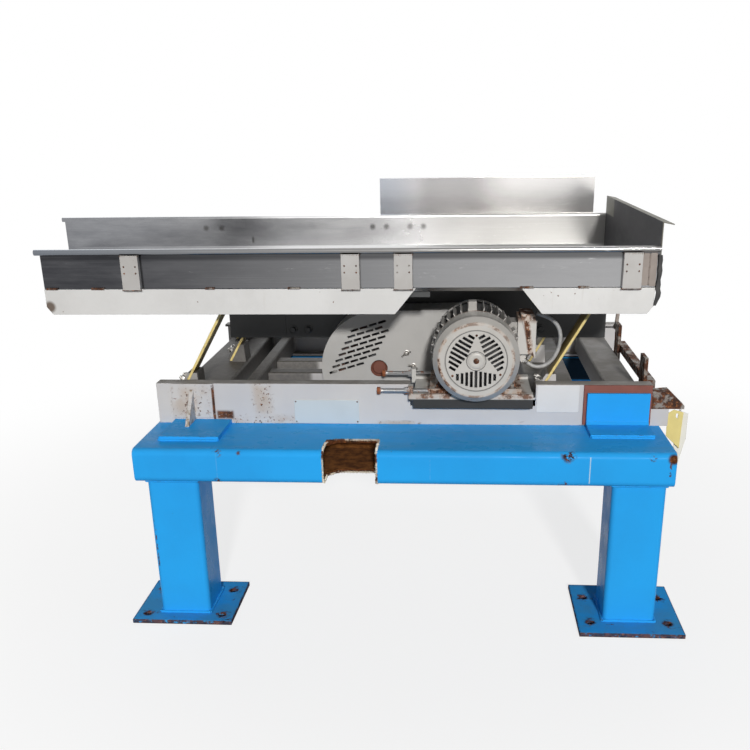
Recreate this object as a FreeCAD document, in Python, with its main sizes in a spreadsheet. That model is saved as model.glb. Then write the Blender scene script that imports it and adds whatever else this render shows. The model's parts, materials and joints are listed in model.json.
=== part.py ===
import FreeCAD, Part
import math
import os

import Sketcher
from FreeCAD import Placement, Rotation, Vector

# A vibrating conveyor on a stand of square tube: an open steel trough carried by leaning
# fibreglass slats on a channel base, shaken by an eccentric shaft that a belt drive turns.
# Millimetres and degrees. +X along the trough to its closed infeed end, +Y to the rear, +Z up.
# The origin is on the floor, in the middle of the four legs.

# Driving dimensions
SIZES = {
    # Stand
    "leg_spacing": 1346.0,
    "leg_depth_spacing": 1230.0,
    "leg_size": 152.4,
    "leg_wall": 9.5,
    "leg_bend": 5.5,
    "foot_width": 304.8,
    "foot_depth_left": 250.0,
    "foot_depth_right": 292.0,
    "foot_thick": 12.7,
    "anchor_spacing_x": 228.6,
    "anchor_spacing_y": 152.4,
    "anchor_shift": 9.0,
    "anchor_hole": 22.2,
    "stand_height": 552.0,
    "beam_left": -777.0,
    "beam_right": 765.0,
    "beam_width": 304.8,
    "beam_height": 101.6,
    "beam_wall": 9.5,
    "beam_bend": 9.5,
    "beam_overhang": 18.0,
    "notch_left": -225.0,
    "notch_right": -71.0,
    "notch_depth": 101.0,
    "notch_corner": 32.0,
    # Fixings between the stand and the base
    "pad_left": -722.0,
    "pad_right": -543.0,
    "pad_depth": 170.0,
    "pad_thick": 12.7,
    "doubler_thick": 6.0,
    "doubler_left_start": -725.0,
    "doubler_left_end": -594.0,
    "doubler_left_rise": 19.0,
    "doubler_right_start": 535.0,
    "doubler_right_end": 736.0,
    "doubler_right_rise": 4.0,
    "gusset_centre": -661.0,
    "gusset_thick": 12.0,
    "gusset_depth": 80.0,
    "gusset_height": 96.0,
    "clip_start": 545.0,
    "clip_end": 730.0,
    "clip_height": 104.0,
    "clip_depth": 112.0,
    "clip_thick": 9.5,
    "clip_bend": 9.0,
    # Base frame
    "rail_left": -772.0,
    "rail_right": 790.0,
    "rail_spacing": 914.0,
    "rail_height": 127.0,
    "rail_flange": 44.5,
    "rail_web": 6.4,
    "rail_flange_thick": 8.0,
    "rail_cut_start": 737.0,
    "rail_cut_rise": 53.0,
    "rail_gap_left": 14.0,
    "rail_gap_right": 392.0,
    "rail_gap_rise": 60.0,
    "cross_height": 76.2,
    "cross_wall": 6.4,
    "cross_bend": 1.6,
    "slat_cross_width": 152.4,
    "slat_cross_left": -738.0,
    "slat_cross_right": 375.0,
    "end_cross_width": 101.6,
    "end_cross_right": 725.0,
    "bearer_width": 40.0,
    "bearer_left": -540.0,
    "bearer_right": 195.0,
    "stub_reach": 98.0,
    "stub_height": 58.0,
    "stub_nose": 10.0,
    "stub_peak": 49.0,
    "stub_root": 53.0,
    "stub_depth": 37.0,
    "upright_thick": 11.0,
    "upright_depth": 70.0,
    "upright_height": 180.0,
    "upright_front": -374.0,
    "upright_rear": 96.0,
    "upright_bar": 26.0,
    "upright_bar_drop": 70.0,
    # Slats and their clamps
    "slat_lean": 30.0,
    "slat_thick": 8.0,
    "slat_width": 76.2,
    "slat_foot_left": -702.0,
    "slat_foot_right": 410.0,
    "slat_end_gap": 3.8,
    "slat_rail_gap": 7.5,
    "slat_middle_front": -20.0,
    "slat_middle_shift": 60.0,
    "bracket_rise": 62.0,
    "bracket_tip": 12.0,
    "bracket_root": 52.0,
    "clamp_thick": 8.0,
    "clamp_inset": 9.0,
    # Trough
    "trough_floor": 965.0,
    "trough_right": 717.0,
    "trough_front_left": -1062.0,
    "trough_rear_left": -1408.0,
    "trough_width": 990.0,
    "trough_depth": 118.0,
    "trough_sheet": 3.0,
    "pan_bend": 9.0,
    "rim_size": 17.0,
    "rim_overrun": 12.0,
    "end_height": 190.0,
    "end_flange": 29.0,
    "end_flange_drop": 6.0,
    "end_return": 36.0,
    "panel_left": -148.0,
    "panel_right": 671.0,
    "panel_bottom": 65.0,
    "panel_height": 196.0,
    "stiffener_width": 52.0,
    "stiffener_depth": 16.5,
    "stiffener_drop": 9.0,
    "stiffener_one": -819.0,
    "stiffener_two": -177.0,
    "stiffener_three": -26.0,
    "stiffener_four": 616.0,
    "skirt_drop": 64.0,
    "skirt_lap": 10.0,
    "skirt_nose": 17.0,
    "skirt_nose_rise": 23.0,
    "skirt_inner_left": 35.0,
    "skirt_inner_right": 336.0,
    "skirt_bevel": 61.0,
    "skirt_outer_right": 710.0,
    "bar_thick": 20.0,
    "bar_end_gap": 25.0,
    "bar_lead": 30.0,
    "bar_left_width": 190.0,
    "bar_right_width": 130.0,
    "bar_middle_width": 150.0,
    "bar_middle_left": -75.0,
    "spine_left": -634.0,
    "spine_right": 655.0,
    "spine_drop": 216.0,
    "spine_front": -40.0,
    "spine_thick": 10.0,
    # Eccentric drive
    "crank_x": -101.0,
    "crank_z": 665.0,
    "crank_throw": 8.0,
    "crank_shaft": 40.0,
    "crank_front": -206.0,
    "crank_rear": 134.0,
    "cam_size": 76.0,
    "cam_front": 0.0,
    "cam_width": 40.0,
    "block_height": 49.2,
    "block_length": 184.0,
    "block_width": 54.0,
    "block_foot": 17.0,
    "block_front": -87.0,
    "block_rear": 73.0,
    "block_clearance": 0.05,
    "bearing_rail_margin": 3.0,
    "rod_length": 320.0,
    "rod_clearance": 0.3,
    "rod_ring": 130.0,
    "rod_eye": 108.0,
    "rod_eye_bore": 71.0,
    "rod_arm": 52.0,
    "rod_inset": 2.0,
    "pin_size": 30.0,
    "bush_clearance": 0.3,
    "pin_reach": 68.0,
    "pin_plate": 112.0,
    "pin_plate_thick": 12.0,
    # Belt drive
    "sheave_front": -190.0,
    "sheave_width": 60.0,
    "sheave_large": 286.0,
    "sheave_small": 102.0,
    "sheave_rim": 26.0,
    "sheave_web": 16.0,
    "sheave_hub": 92.0,
    "groove_depth": 15.0,
    "groove_wide": 18.0,
    "groove_narrow": 13.6,
    "groove_pitch": 25.0,
    "belt_width": 11.0,
    "belt_thick": 12.0,
    "belt_seat": 0.4,
    "guard_front": -215.0,
    "guard_large": 190.0,
    "guard_small": 85.0,
    "guard_sheet": 3.0,
    "guard_port": 56.0,
    "guard_slot_long": 26.0,
    "guard_slot_high": 7.6,
    "guard_slot_tilt": 17.0,
    "guard_slot_pitch": 31.4,
    "guard_slot_count": 4.0,
    "guard_slot_x": -78.0,
    "guard_slot_z": 127.0,
    "guard_row_lean": 45.0,
    "guard_row_pitch": 22.7,
    "guard_row_count": 9.0,
    # Motor
    "motor_shaft": 28.0,
    "motor_shaft_overrun": 2.0,
    "motor_front": -508.0,
    "motor_rear": -226.0,
    "motor_barrel_step": 10.0,
    "motor_bell_rise": 6.0,
    "motor_bell_depth": 34.0,
    "motor_boss": 56.0,
    "motor_boss_depth": 9.0,
    "motor_clearance": 0.3,
    "fin_rise": 8.0,
    "fin_length": 118.0,
    "fin_clearance": 0.6,
    "fin_thick": 3.6,
    "fin_count": 36.0,
    "lug_rise": 26.0,
    "lug_shift": 11.0,
    "lug_thick": 24.0,
    "lug_depth": 34.0,
    "foot_spacing": 216.0,
    "foot_pad_width": 60.0,
    "foot_pad_thick": 14.0,
    "foot_pad_front": -478.0,
    "foot_pad_depth": 220.0,
    "foot_web": 26.0,
    "fan_size": 190.0,
    "fan_hub": 60.0,
    "fan_depth": 26.0,
    "fan_blade": 4.0,
    "fan_count": 8.0,
    "cowl_front": -552.0,
    "cowl_depth": 106.0,
    "cowl_size": 252.0,
    "cowl_nose_step": 17.0,
    "cowl_lift": 0.3,
    "cowl_round": 17.0,
    "cowl_sheet": 2.5,
    "cowl_seat": 24.0,
    "cowl_clearance": 0.2,
    "grille_size": 158.0,
    "grille_hub": 58.0,
    "grille_fan": 0.17,
    "grille_pitch": 13.4,
    "grille_slot": 8.0,
    "box_left": 336.0,
    "box_bottom": 759.0,
    "box_height": 112.0,
    "box_root": 41.0,
    "box_head": 8.0,
    "box_front": -404.0,
    "box_depth": 96.0,
    "box_boss_margin": 10.0,
    "box_boss_height": 76.0,
    "lid_gap": 0.6,
    "lid_width": 47.0,
    "lid_rise": 10.0,
    "lid_bevel": 24.0,
    "lid_drop": 14.0,
    "elbow_width": 20.0,
    "elbow_front": -385.0,
    "conduit_size": 12.0,
    # Motor platform
    "platform_left": 24.0,
    "platform_right": 382.0,
    "platform_front": -489.0,
    "platform_rear": -236.0,
    "platform_thick": 12.7,
    "platform_lip": 36.0,
    "platform_lip_thick": 6.0,
    "slide_thick": 8.0,
    "slide_width": 30.0,
    "slide_gap": 104.0,
    "slide_rear": -285.0,
    "screw_size": 14.0,
    "screw_left": -85.0,
    "screw_head": 20.0,
    "screw_head_thick": 10.0,
    "screw_nut_thick": 12.0,
    "screw_lug": 14.0,
    "screw_lug_rise": 10.0,
    "screw_clearance": 0.3,
}

# The route of the conduit's loop, as (x, z) from its elbow to its loose end
CONDUIT_ROUTE = [
    (358.0, 736.0),
    (376.0, 720.5),
    (400.0, 712.0),
    (424.0, 717.0),
    (446.0, 735.0),
    (461.0, 763.0),
    (468.0, 795.0),
    (465.0, 827.0),
    (449.0, 853.0),
    (423.0, 870.0),
    (393.0, 878.0),
]
BEND_SHARE = 0.45
FULL_TURN = 360.0
GRILLE_SECTORS = 3
GRILLE_STEPS = range(-4, 5)
GUARD_LONG_ROWS = range(2, 7)

doc = FreeCAD.newDocument("vibrating_conveyor")
sheet = doc.addObject("Spreadsheet::Sheet", "Sizes")
for row, (alias, amount) in enumerate(SIZES.items(), start=1):
    sheet.set(f"A{row}", alias)
    sheet.set(f"B{row}", str(amount))
    sheet.setAlias(f"B{row}", alias)
doc.recompute()

PLANES = {"X": "YZ_Plane", "Y": "XZ_Plane", "Z": "XY_Plane"}
pieces = []


class Size:
    """A size that follows the sheet: its value now and the expression that gives it."""

    def __init__(self, value, text):
        self.value = value
        self.text = text

    def joined(self, other, sign, result):
        return Size(result, f"({self.text} {sign} {size(other).text})")

    def __add__(self, other):
        return self.joined(other, "+", self.value + size(other).value)

    def __sub__(self, other):
        return self.joined(other, "-", self.value - size(other).value)

    def __mul__(self, other):
        return self.joined(other, "*", self.value * size(other).value)

    def __truediv__(self, other):
        return self.joined(other, "/", self.value / size(other).value)

    def __neg__(self):
        return Size(-self.value, f"(-1 * {self.text})")


def size(given):
    """The named size of the sheet, a plain number as a size, or a size as it is."""
    if isinstance(given, Size):
        return given
    if isinstance(given, str):
        return Size(SIZES[given], f"Sizes.{given}")
    return Size(given, repr(given))


def turned(function, degrees):
    """The sine, cosine or tangent of an angle in degrees, as a size."""
    degrees = size(degrees)
    result = getattr(math, function)(math.radians(degrees.value))
    return Size(result, f"{function}({degrees.text} * 1 deg)")


def root(square):
    """The square root of a size."""
    return Size(math.sqrt(square.value), f"sqrt({square.text})")


def bind(item, path, amount):
    item.setExpression(path, amount.text)


class Piece:
    """One sub-part: a body whose features are drawn on its own origin planes."""

    def __init__(self, name):
        self.body = doc.addObject("PartDesign::Body", name)
        self.body.Label = name
        self.body.AllowCompound = True
        self.name = name
        self.count = 0
        pieces.append(self.body)

    def sketch(self, along, level, across=0.0, up=0.0):
        """An empty sketch that faces along an axis at a level of it, its origin moved in its plane."""
        self.count += 1
        drawn = self.body.newObject("Sketcher::SketchObject", f"{self.name}_sketch{self.count}")
        origin = self.body.Origin.OriginFeatures
        plane = next(feature for feature in origin if getattr(feature, "Role", "") == PLANES[along])
        drawn.AttachmentSupport = [(plane, "")]
        drawn.MapMode = "FlatFace"
        level, across, up = size(level), size(across), size(up)
        if along == "Y":
            level = -level
        drawn.AttachmentOffset = Placement(Vector(across.value, up.value, level.value), Rotation())
        bind(drawn, "AttachmentOffset.Base.x", across)
        bind(drawn, "AttachmentOffset.Base.y", up)
        bind(drawn, "AttachmentOffset.Base.z", level)
        return drawn

    def feature(self, kind, drawn, **settings):
        """A feature made from a sketch, its settings bound to their sizes."""
        made = self.body.newObject(f"PartDesign::{kind}", f"{self.name}_{kind}{self.count}")
        made.Profile = drawn
        for setting, amount in settings.items():
            setattr(made, setting, amount.value)
            bind(made, setting, amount)
        return made

    def pad(self, along, low, high, *shapes):
        """Material between two levels of an axis, drawn as closed shapes across it."""
        low, high = size(low), size(high)
        drawn = self.sketch(along, high if along == "Y" else low)
        for shape in shapes:
            shape(drawn)
        return self.feature("Pad", drawn, Length=high - low)

    def cut(self, along, low, high, *shapes):
        """Material taken away between two levels of an axis."""
        low, high = size(low), size(high)
        doc.recompute()
        before = self.body.Shape.Volume
        drawn = self.sketch(along, low if along == "Y" else high)
        for shape in shapes:
            shape(drawn)
        made = self.feature("Pocket", drawn, Length=high - low)
        doc.recompute()
        if not self.body.Shape.Volume < before:
            raise RuntimeError(f"{made.Name} cut nothing")
        return made

    def turn(self, x, z, profile):
        """A profile of (y, radius) points turned about an axis along Y; gives the sketch with that axis."""
        drawn = self.sketch("X", x, 0.0, z)
        outline(profile)(drawn)
        made = self.feature("Revolution", drawn)
        made.ReferenceAxis = (drawn, ["H_Axis"])
        made.Angle = FULL_TURN
        return drawn

    def repeat(self, feature, drawn, count):
        """The feature repeated evenly round the axis of a turned profile."""
        doc.recompute()
        made = self.body.newObject("PartDesign::PolarPattern", f"{self.name}_pattern{self.count}")
        made.Originals = [feature]
        made.Axis = (drawn, ["H_Axis"])
        made.Angle = FULL_TURN
        made.Occurrences = int(count.value)
        bind(made, "Occurrences", count)
        self.body.Tip = made


def place(drawn, line, end, corner):
    """Ties an end of a drawn line to a corner given from the sketch's origin."""
    for kind, amount in zip(("DistanceX", "DistanceY"), corner):
        tie = drawn.addConstraint(Sketcher.Constraint(kind, -1, 1, line, end, amount.value))
        bind(drawn, f"Constraints[{tie}]", amount)


def outline(corners):
    """A closed outline of straight lines through its corners."""

    def draw(drawn):
        ends = [(size(u), size(v)) for u, v in corners]
        points = [Vector(u.value, v.value, 0) for u, v in ends]
        lines = [
            drawn.addGeometry(Part.LineSegment(point, points[(i + 1) % len(points)]))
            for i, point in enumerate(points)
        ]
        for i, line in enumerate(lines):
            after = lines[(i + 1) % len(lines)]
            drawn.addConstraint(Sketcher.Constraint("Coincident", line, 2, after, 1))
            place(drawn, line, 1, ends[i])

    return draw


def box(u_low, u_high, v_low, v_high):
    """A rectangle between two levels each way."""
    return outline([(u_low, v_low), (u_high, v_low), (u_high, v_high), (u_low, v_high)])


def circle(u, v, diameter):
    """A circle about a point."""

    def draw(drawn):
        centre = (size(u), size(v))
        across = size(diameter)
        middle = Vector(centre[0].value, centre[1].value, 0)
        ring = drawn.addGeometry(Part.Circle(middle, Vector(0, 0, 1), across.value / 2))
        tie = drawn.addConstraint(Sketcher.Constraint("Diameter", ring, across.value))
        bind(drawn, f"Constraints[{tie}]", across)
        place(drawn, ring, 3, centre)

    return draw


def hexagon(u, v, flats):
    """A hexagon about a point, by the distance across its flats."""
    reach = size(flats) / 2 / turned("cos", 30.0)
    angles = [60.0 * i for i in range(6)]
    return outline([(u + reach * turned("cos", a), v + reach * turned("sin", a)) for a in angles])


def rounded(u_low, u_high, v_low, v_high, radius):
    """A rectangle with round corners."""

    def draw(drawn):
        low_u, high_u, low_v, high_v = size(u_low), size(u_high), size(v_low), size(v_high)
        bend = size(radius)
        r = bend.value
        left, right = low_u.value, high_u.value
        bottom, top = low_v.value, high_v.value
        sides = [
            ((left + r, bottom), (right - r, bottom)),
            ((right, bottom + r), (right, top - r)),
            ((right - r, top), (left + r, top)),
            ((left, top - r), (left, bottom + r)),
        ]
        centres = [
            (right - r, bottom + r),
            (right - r, top - r),
            (left + r, top - r),
            (left + r, bottom + r),
        ]
        lines = [
            drawn.addGeometry(Part.LineSegment(Vector(*start, 0), Vector(*end, 0)))
            for start, end in sides
        ]
        arcs = []
        for quarter, (u, v) in enumerate(centres):
            corner = Part.Circle(Vector(u, v, 0), Vector(0, 0, 1), r)
            start = (quarter - 1) * math.pi / 2
            arcs.append(drawn.addGeometry(Part.ArcOfCircle(corner, start, start + math.pi / 2)))
        for i, arc in enumerate(arcs):
            drawn.addConstraint(Sketcher.Constraint("Tangent", lines[i], 2, arc, 1))
            drawn.addConstraint(Sketcher.Constraint("Tangent", arc, 2, lines[(i + 1) % 4], 1))
        for line, kind in zip(lines, ("Horizontal", "Vertical", "Horizontal", "Vertical")):
            drawn.addConstraint(Sketcher.Constraint(kind, line))
        for arc in arcs[1:]:
            drawn.addConstraint(Sketcher.Constraint("Equal", arcs[0], arc))
        tie = drawn.addConstraint(Sketcher.Constraint("Radius", arcs[0], r))
        bind(drawn, f"Constraints[{tie}]", bend)
        levels = [
            ("DistanceY", 0, low_v),
            ("DistanceX", 1, high_u),
            ("DistanceY", 2, high_v),
            ("DistanceX", 3, low_u),
        ]
        for kind, side, amount in levels:
            tie = drawn.addConstraint(Sketcher.Constraint(kind, -1, 1, lines[side], 1, amount.value))
            bind(drawn, f"Constraints[{tie}]", amount)

    return draw


def tube(u_low, u_high, v_low, v_high, wall, bend):
    """The section of a rolled hollow bar, its corners bent to an inside radius."""
    low_u, high_u, low_v, high_v = size(u_low), size(u_high), size(v_low), size(v_high)
    wall, bend = size(wall), size(bend)

    def draw(drawn):
        rounded(low_u, high_u, low_v, high_v, bend + wall)(drawn)
        rounded(low_u + wall, high_u - wall, low_v + wall, high_v - wall, bend)(drawn)

    return draw


def loop(first, first_radius, second, second_radius):
    """The outline of a belt round two circles, given by their centres and radii."""

    def draw(drawn):
        a, b = [size(p) for p in first], [size(p) for p in second]
        big, small = size(first_radius), size(second_radius)
        du, dv = b[0].value - a[0].value, b[1].value - a[1].value
        heading = math.atan2(dv, du)
        swing = math.acos((big.value - small.value) / math.hypot(du, dv))
        angles = (heading - swing, heading + swing)
        rings = []
        for centre, radius, (start, end) in (
            (a, big, (angles[1], angles[0] + 2 * math.pi)),
            (b, small, angles),
        ):
            ring = Part.Circle(Vector(centre[0].value, centre[1].value, 0), Vector(0, 0, 1), radius.value)
            rings.append(drawn.addGeometry(Part.ArcOfCircle(ring, start, end)))
        ends = [
            [
                Vector(c[0].value + r.value * math.cos(angle), c[1].value + r.value * math.sin(angle), 0)
                for c, r in ((a, big), (b, small))
            ]
            for angle in angles
        ]
        lower = drawn.addGeometry(Part.LineSegment(ends[0][0], ends[0][1]))
        upper = drawn.addGeometry(Part.LineSegment(ends[1][1], ends[1][0]))
        chain = [(rings[0], lower), (lower, rings[1]), (rings[1], upper), (upper, rings[0])]
        for before, after in chain:
            drawn.addConstraint(Sketcher.Constraint("Tangent", before, 2, after, 1))
        for ring, centre, radius in ((rings[0], a, big), (rings[1], b, small)):
            tie = drawn.addConstraint(Sketcher.Constraint("Radius", ring, radius.value))
            bind(drawn, f"Constraints[{tie}]", radius)
            place(drawn, ring, 3, centre)

    return draw


# Levels that several pieces share
leg_x = size("leg_spacing") / 2
leg_y = size("leg_depth_spacing") / 2
leg_half = size("leg_size") / 2
beam_top = size("stand_height")
beam_bottom = beam_top - "beam_height"
beam_face = leg_y + leg_half + "beam_overhang"
rail_face = size("rail_spacing") / 2
rail_inner = rail_face - "rail_web"
rail_tip = rail_face - "rail_flange"
rail_top = beam_top + "rail_height"
cross_bottom = beam_top + "rail_flange_thick"
cross_top = cross_bottom + "cross_height"
trough_half = size("trough_width") / 2
trough_floor = size("trough_floor")
trough_sheet = size("trough_sheet")
bar_bottom = trough_floor - "bar_thick"
lean = size("slat_lean")
slat_slope = turned("tan", lean)
slat_across = size("slat_thick") / turned("cos", lean)
clamp_across = size("clamp_thick") / turned("cos", lean)
slat_foot = cross_top + "slat_end_gap"
slat_head = bar_bottom - "slat_end_gap"
crank_x, crank_z = size("crank_x"), size("crank_z")
cam_x = crank_x + size("crank_throw") * turned("sin", lean)
cam_z = crank_z + size("crank_throw") * turned("cos", lean)
eye_x = cam_x - size("rod_length") * turned("cos", lean)
eye_z = cam_z + size("rod_length") * turned("sin", lean)
spine_back = size("spine_front") + "spine_thick"
cowl_reach = size("cowl_size") / 2
motor_x = size("box_left") - cowl_reach
platform_top = cross_top + "platform_thick"
motor_base = platform_top + "slide_thick"
motor_z = platform_top + cowl_reach + "cowl_lift"
sheave_front = size("sheave_front")
sheave_back = sheave_front + "sheave_width"
groove_first = sheave_front + (size("sheave_width") - "groove_pitch") / 2
grooves = [groove_first, groove_first + "groove_pitch"]
cowl_back = size("cowl_front") + "cowl_depth"
sides = {"left": -1, "right": 1}
ends = {"front": -1, "rear": 1}


# Stand
def feet_and_legs():
    """Four square legs, each welded to a floor plate with four anchor holes."""
    for end, depthways in ends.items():
        for side, sideways in sides.items():
            x, y = leg_x * sideways, leg_y * depthways
            half_width = size("foot_width") / 2
            half_depth = size(f"foot_depth_{side}") / 2
            holes = [
                circle(
                    x + size("anchor_spacing_x") / 2 * across,
                    y + size("anchor_shift") * depthways + size("anchor_spacing_y") / 2 * along,
                    "anchor_hole",
                )
                for across in sides.values()
                for along in ends.values()
            ]
            plate = Piece(f"foot_plate_{end}_{side}")
            plate.pad(
                "Z",
                0.0,
                "foot_thick",
                box(x - half_width, x + half_width, y - half_depth, y + half_depth),
                *holes,
            )
            leg = Piece(f"leg_{end}_{side}")
            leg.pad(
                "Z",
                "foot_thick",
                beam_bottom,
                tube(x - leg_half, x + leg_half, y - leg_half, y + leg_half, "leg_wall", "leg_bend"),
            )


def beams():
    """A flat box beam on each pair of legs; the front one has a notch burnt out of its face."""
    inner = beam_face - "beam_width"
    spans = {"front": (-beam_face, -inner), "rear": (inner, beam_face)}
    for end, (low, high) in spans.items():
        beam = Piece(f"beam_{end}")
        section = tube(low, high, beam_bottom, beam_top, "beam_wall", "beam_bend")
        beam.pad("X", "beam_left", "beam_right", section)
        if end == "front":
            back = size("notch_depth") - beam_face
            corner = size("notch_corner")
            notch = outline(
                [
                    ("notch_left", -beam_face),
                    ("notch_right", -beam_face),
                    ("notch_right", back),
                    (size("notch_left") + corner, back),
                    ("notch_left", back - corner),
                ]
            )
            beam.cut("Z", beam_bottom, beam_top, notch)


# Fixings between the stand and the base
def clip_section(face, outwards):
    """The section of a bent clip angle on the beam, its upright leg against a vertical face."""
    shin = face + size("clip_thick") * outwards
    toe = face + size("clip_depth") * outwards
    tread = beam_top + "clip_thick"
    return outline(
        [
            (face, beam_top),
            (toe, beam_top),
            (toe, tread),
            (shin + size("clip_bend") * outwards, tread),
            (shin, tread + "clip_bend"),
            (shin, beam_top + "clip_height"),
            (face, beam_top + "clip_height"),
        ]
    )


def fixings():
    """The left pad with its gusset, the doublers on the rail's web, and the clip angles."""
    face = -rail_face
    doubled = face - "doubler_thick"
    pad_top = beam_top + "pad_thick"
    half = size("gusset_thick") / 2
    pad = Piece("mount_pad")
    pad.pad("Z", beam_top, pad_top, box("pad_left", "pad_right", face - "pad_depth", face))
    pad.pad(
        "X",
        size("gusset_centre") - half,
        size("gusset_centre") + half,
        outline(
            [
                (doubled, pad_top),
                (doubled, pad_top + "gusset_height"),
                (doubled - "gusset_depth", pad_top),
            ]
        ),
    )
    for side in sides:
        bottom = beam_top + f"doubler_{side}_rise"
        doubler = Piece(f"mount_doubler_{side}")
        span = box(f"doubler_{side}_start", f"doubler_{side}_end", bottom, rail_top)
        doubler.pad("Y", doubled, face, span)
    front = Piece("mount_clip_front")
    front.pad("X", "clip_start", "clip_end", clip_section(doubled, -1))
    rear = Piece("mount_clips_rear")
    rear.pad("X", "pad_left", "pad_right", clip_section(rail_face, 1))
    rear.pad("X", "clip_start", "clip_end", clip_section(rail_face, 1))


# Base frame
def rails():
    """Channel rails with their webs outwards; the front one is cut for the motor and at its end."""
    low_flange = beam_top + "rail_flange_thick"
    high_flange = rail_top - "rail_flange_thick"
    for end, depthways in ends.items():
        face, inner, tip = rail_face * depthways, rail_inner * depthways, rail_tip * depthways
        rail = Piece(f"rail_{end}")
        rail.pad(
            "X",
            "rail_left",
            "rail_right",
            outline(
                [
                    (face, beam_top),
                    (tip, beam_top),
                    (tip, low_flange),
                    (inner, low_flange),
                    (inner, high_flange),
                    (tip, high_flange),
                    (tip, rail_top),
                    (face, rail_top),
                ]
            ),
        )
        if end == "front":
            gap_bottom = beam_top + "rail_gap_rise"
            cut_bottom = beam_top + "rail_cut_rise"
            rail.cut("Y", face, tip, box("rail_gap_left", "rail_gap_right", gap_bottom, rail_top))
            rail.cut("Y", face, tip, box("rail_cut_start", "rail_right", cut_bottom, rail_top))


def cross_section(start, width):
    """The section of a tube that lies on the rails' lower flanges."""
    low = size(start)
    return tube(low, low + width, cross_bottom, cross_top, "cross_wall", "cross_bend")


def cross_members():
    """Tubes between the rails: two carry the slats, one closes the infeed end, two bear the drive."""
    end_start = size("end_cross_right") - "end_cross_width"
    groups = {
        "cross_slat_left": [("slat_cross_left", "slat_cross_width")],
        "cross_slat_right": [("slat_cross_right", "slat_cross_width")],
        "cross_end": [(end_start, "end_cross_width")],
        "drive_bearers": [("bearer_left", "bearer_width"), ("bearer_right", "bearer_width")],
    }
    for name, spans in groups.items():
        member = Piece(name)
        for start, width in spans:
            member.pad("Y", -rail_inner, rail_inner, cross_section(start, width))


def bearing_rails():
    """Two tubes between the drive bearers, under the bearings of the eccentric shaft."""
    margin = size("bearing_rail_margin")
    seat = crank_z - "block_height"
    made = Piece("bearing_rails")
    for end in ends:
        low = size(f"block_{end}") - margin
        high = size(f"block_{end}") + "block_width" + margin
        section = tube(low, high, cross_bottom, seat, "cross_wall", "cross_bend")
        made.pad("X", size("bearer_left") + "bearer_width", "bearer_right", section)


def end_remains():
    """What is left of cut-off steel at the infeed end: a stub on the rail, and two uprights with a bar."""
    start = size("rail_cut_start")
    level = beam_top + "rail_cut_rise"
    tip = start + "stub_reach"
    stub = Piece("rail_stub")
    stub.pad(
        "Y",
        -rail_face,
        size("stub_depth") - rail_face,
        outline(
            [
                (start, level),
                (tip, level),
                (tip, level + "stub_nose"),
                (start + "stub_peak", level + "stub_height"),
                (start, level + "stub_root"),
            ]
        ),
    )
    face = size("end_cross_right")
    out = face + "upright_thick"
    top = cross_bottom + "upright_height"
    bar_top = top - "upright_bar_drop"
    bracket = Piece("end_bracket")
    for name in ("upright_front", "upright_rear"):
        bracket.pad("Y", name, size(name) + "upright_depth", box(face, out, cross_bottom, top))
    bracket.pad(
        "Y",
        "upright_front",
        size("upright_rear") + "upright_depth",
        box(out, out + "upright_bar", bar_top - "upright_bar", bar_top),
    )


# Slats and their clamps
def slat_places():
    """Each slat's place: its name, front edge in depth and the foot of its lower right face."""
    front = size("slat_rail_gap") - rail_tip
    rear = rail_tip - "slat_rail_gap" - "slat_width"
    places = []
    for side in sides:
        foot = size(f"slat_foot_{side}")
        middle_foot = foot + "slat_middle_shift" if side == "left" else foot
        places.append((f"front_{side}", front, foot))
        places.append((f"middle_{side}", size("slat_middle_front"), middle_foot))
        places.append((f"rear_{side}", rear, foot))
    return places


def on_slat(foot, level):
    """Where a slat's lower right face is, along X, at a height."""
    return foot + (level - slat_foot) * slat_slope


def leaning(foot, low, high, near, far):
    """A strip along the slat between two heights and two distances left of its lower right face."""
    return outline(
        [
            (on_slat(foot, low) - near, low),
            (on_slat(foot, high) - near, high),
            (on_slat(foot, high) - far, high),
            (on_slat(foot, low) - far, low),
        ]
    )


def slats():
    """Leaning fibreglass slats, held between brackets and clamp plates at both ends."""
    inset = size("clamp_inset")
    lower_top = cross_top + "bracket_rise"
    upper_bottom = bar_bottom - "bracket_rise"
    seats = {"lower": (cross_top, lower_top), "upper": (bar_bottom, upper_bottom)}
    grips = {"lower": (cross_top + inset, lower_top), "upper": (upper_bottom, bar_bottom - inset)}
    brackets = {level: Piece(f"slat_brackets_{level}") for level in seats}
    clamps = {level: Piece(f"slat_clamps_{level}") for level in grips}
    clamp_face = slat_across + clamp_across
    for name, front, foot in slat_places():
        back = front + "slat_width"
        slat = Piece(f"slat_{name}")
        slat.pad("Y", front, back, leaning(foot, slat_foot, slat_head, size(0.0), slat_across))
        for level, (base, tip) in seats.items():
            wedge = outline(
                [
                    (on_slat(foot, base), base),
                    (on_slat(foot, tip), tip),
                    (on_slat(foot, tip) + "bracket_tip", tip),
                    (on_slat(foot, base) + "bracket_root", base),
                ]
            )
            brackets[level].pad("Y", front, back, wedge)
        for level, (low, high) in grips.items():
            clamps[level].pad("Y", front, back, leaning(foot, low, high, slat_across, clamp_face))


# Trough
def bias(depth):
    """Where the slanted discharge end is, along X, at a depth."""
    run = size("trough_rear_left") - "trough_front_left"
    return size("trough_front_left") + run * ((depth + trough_half) / "trough_width")


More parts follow.
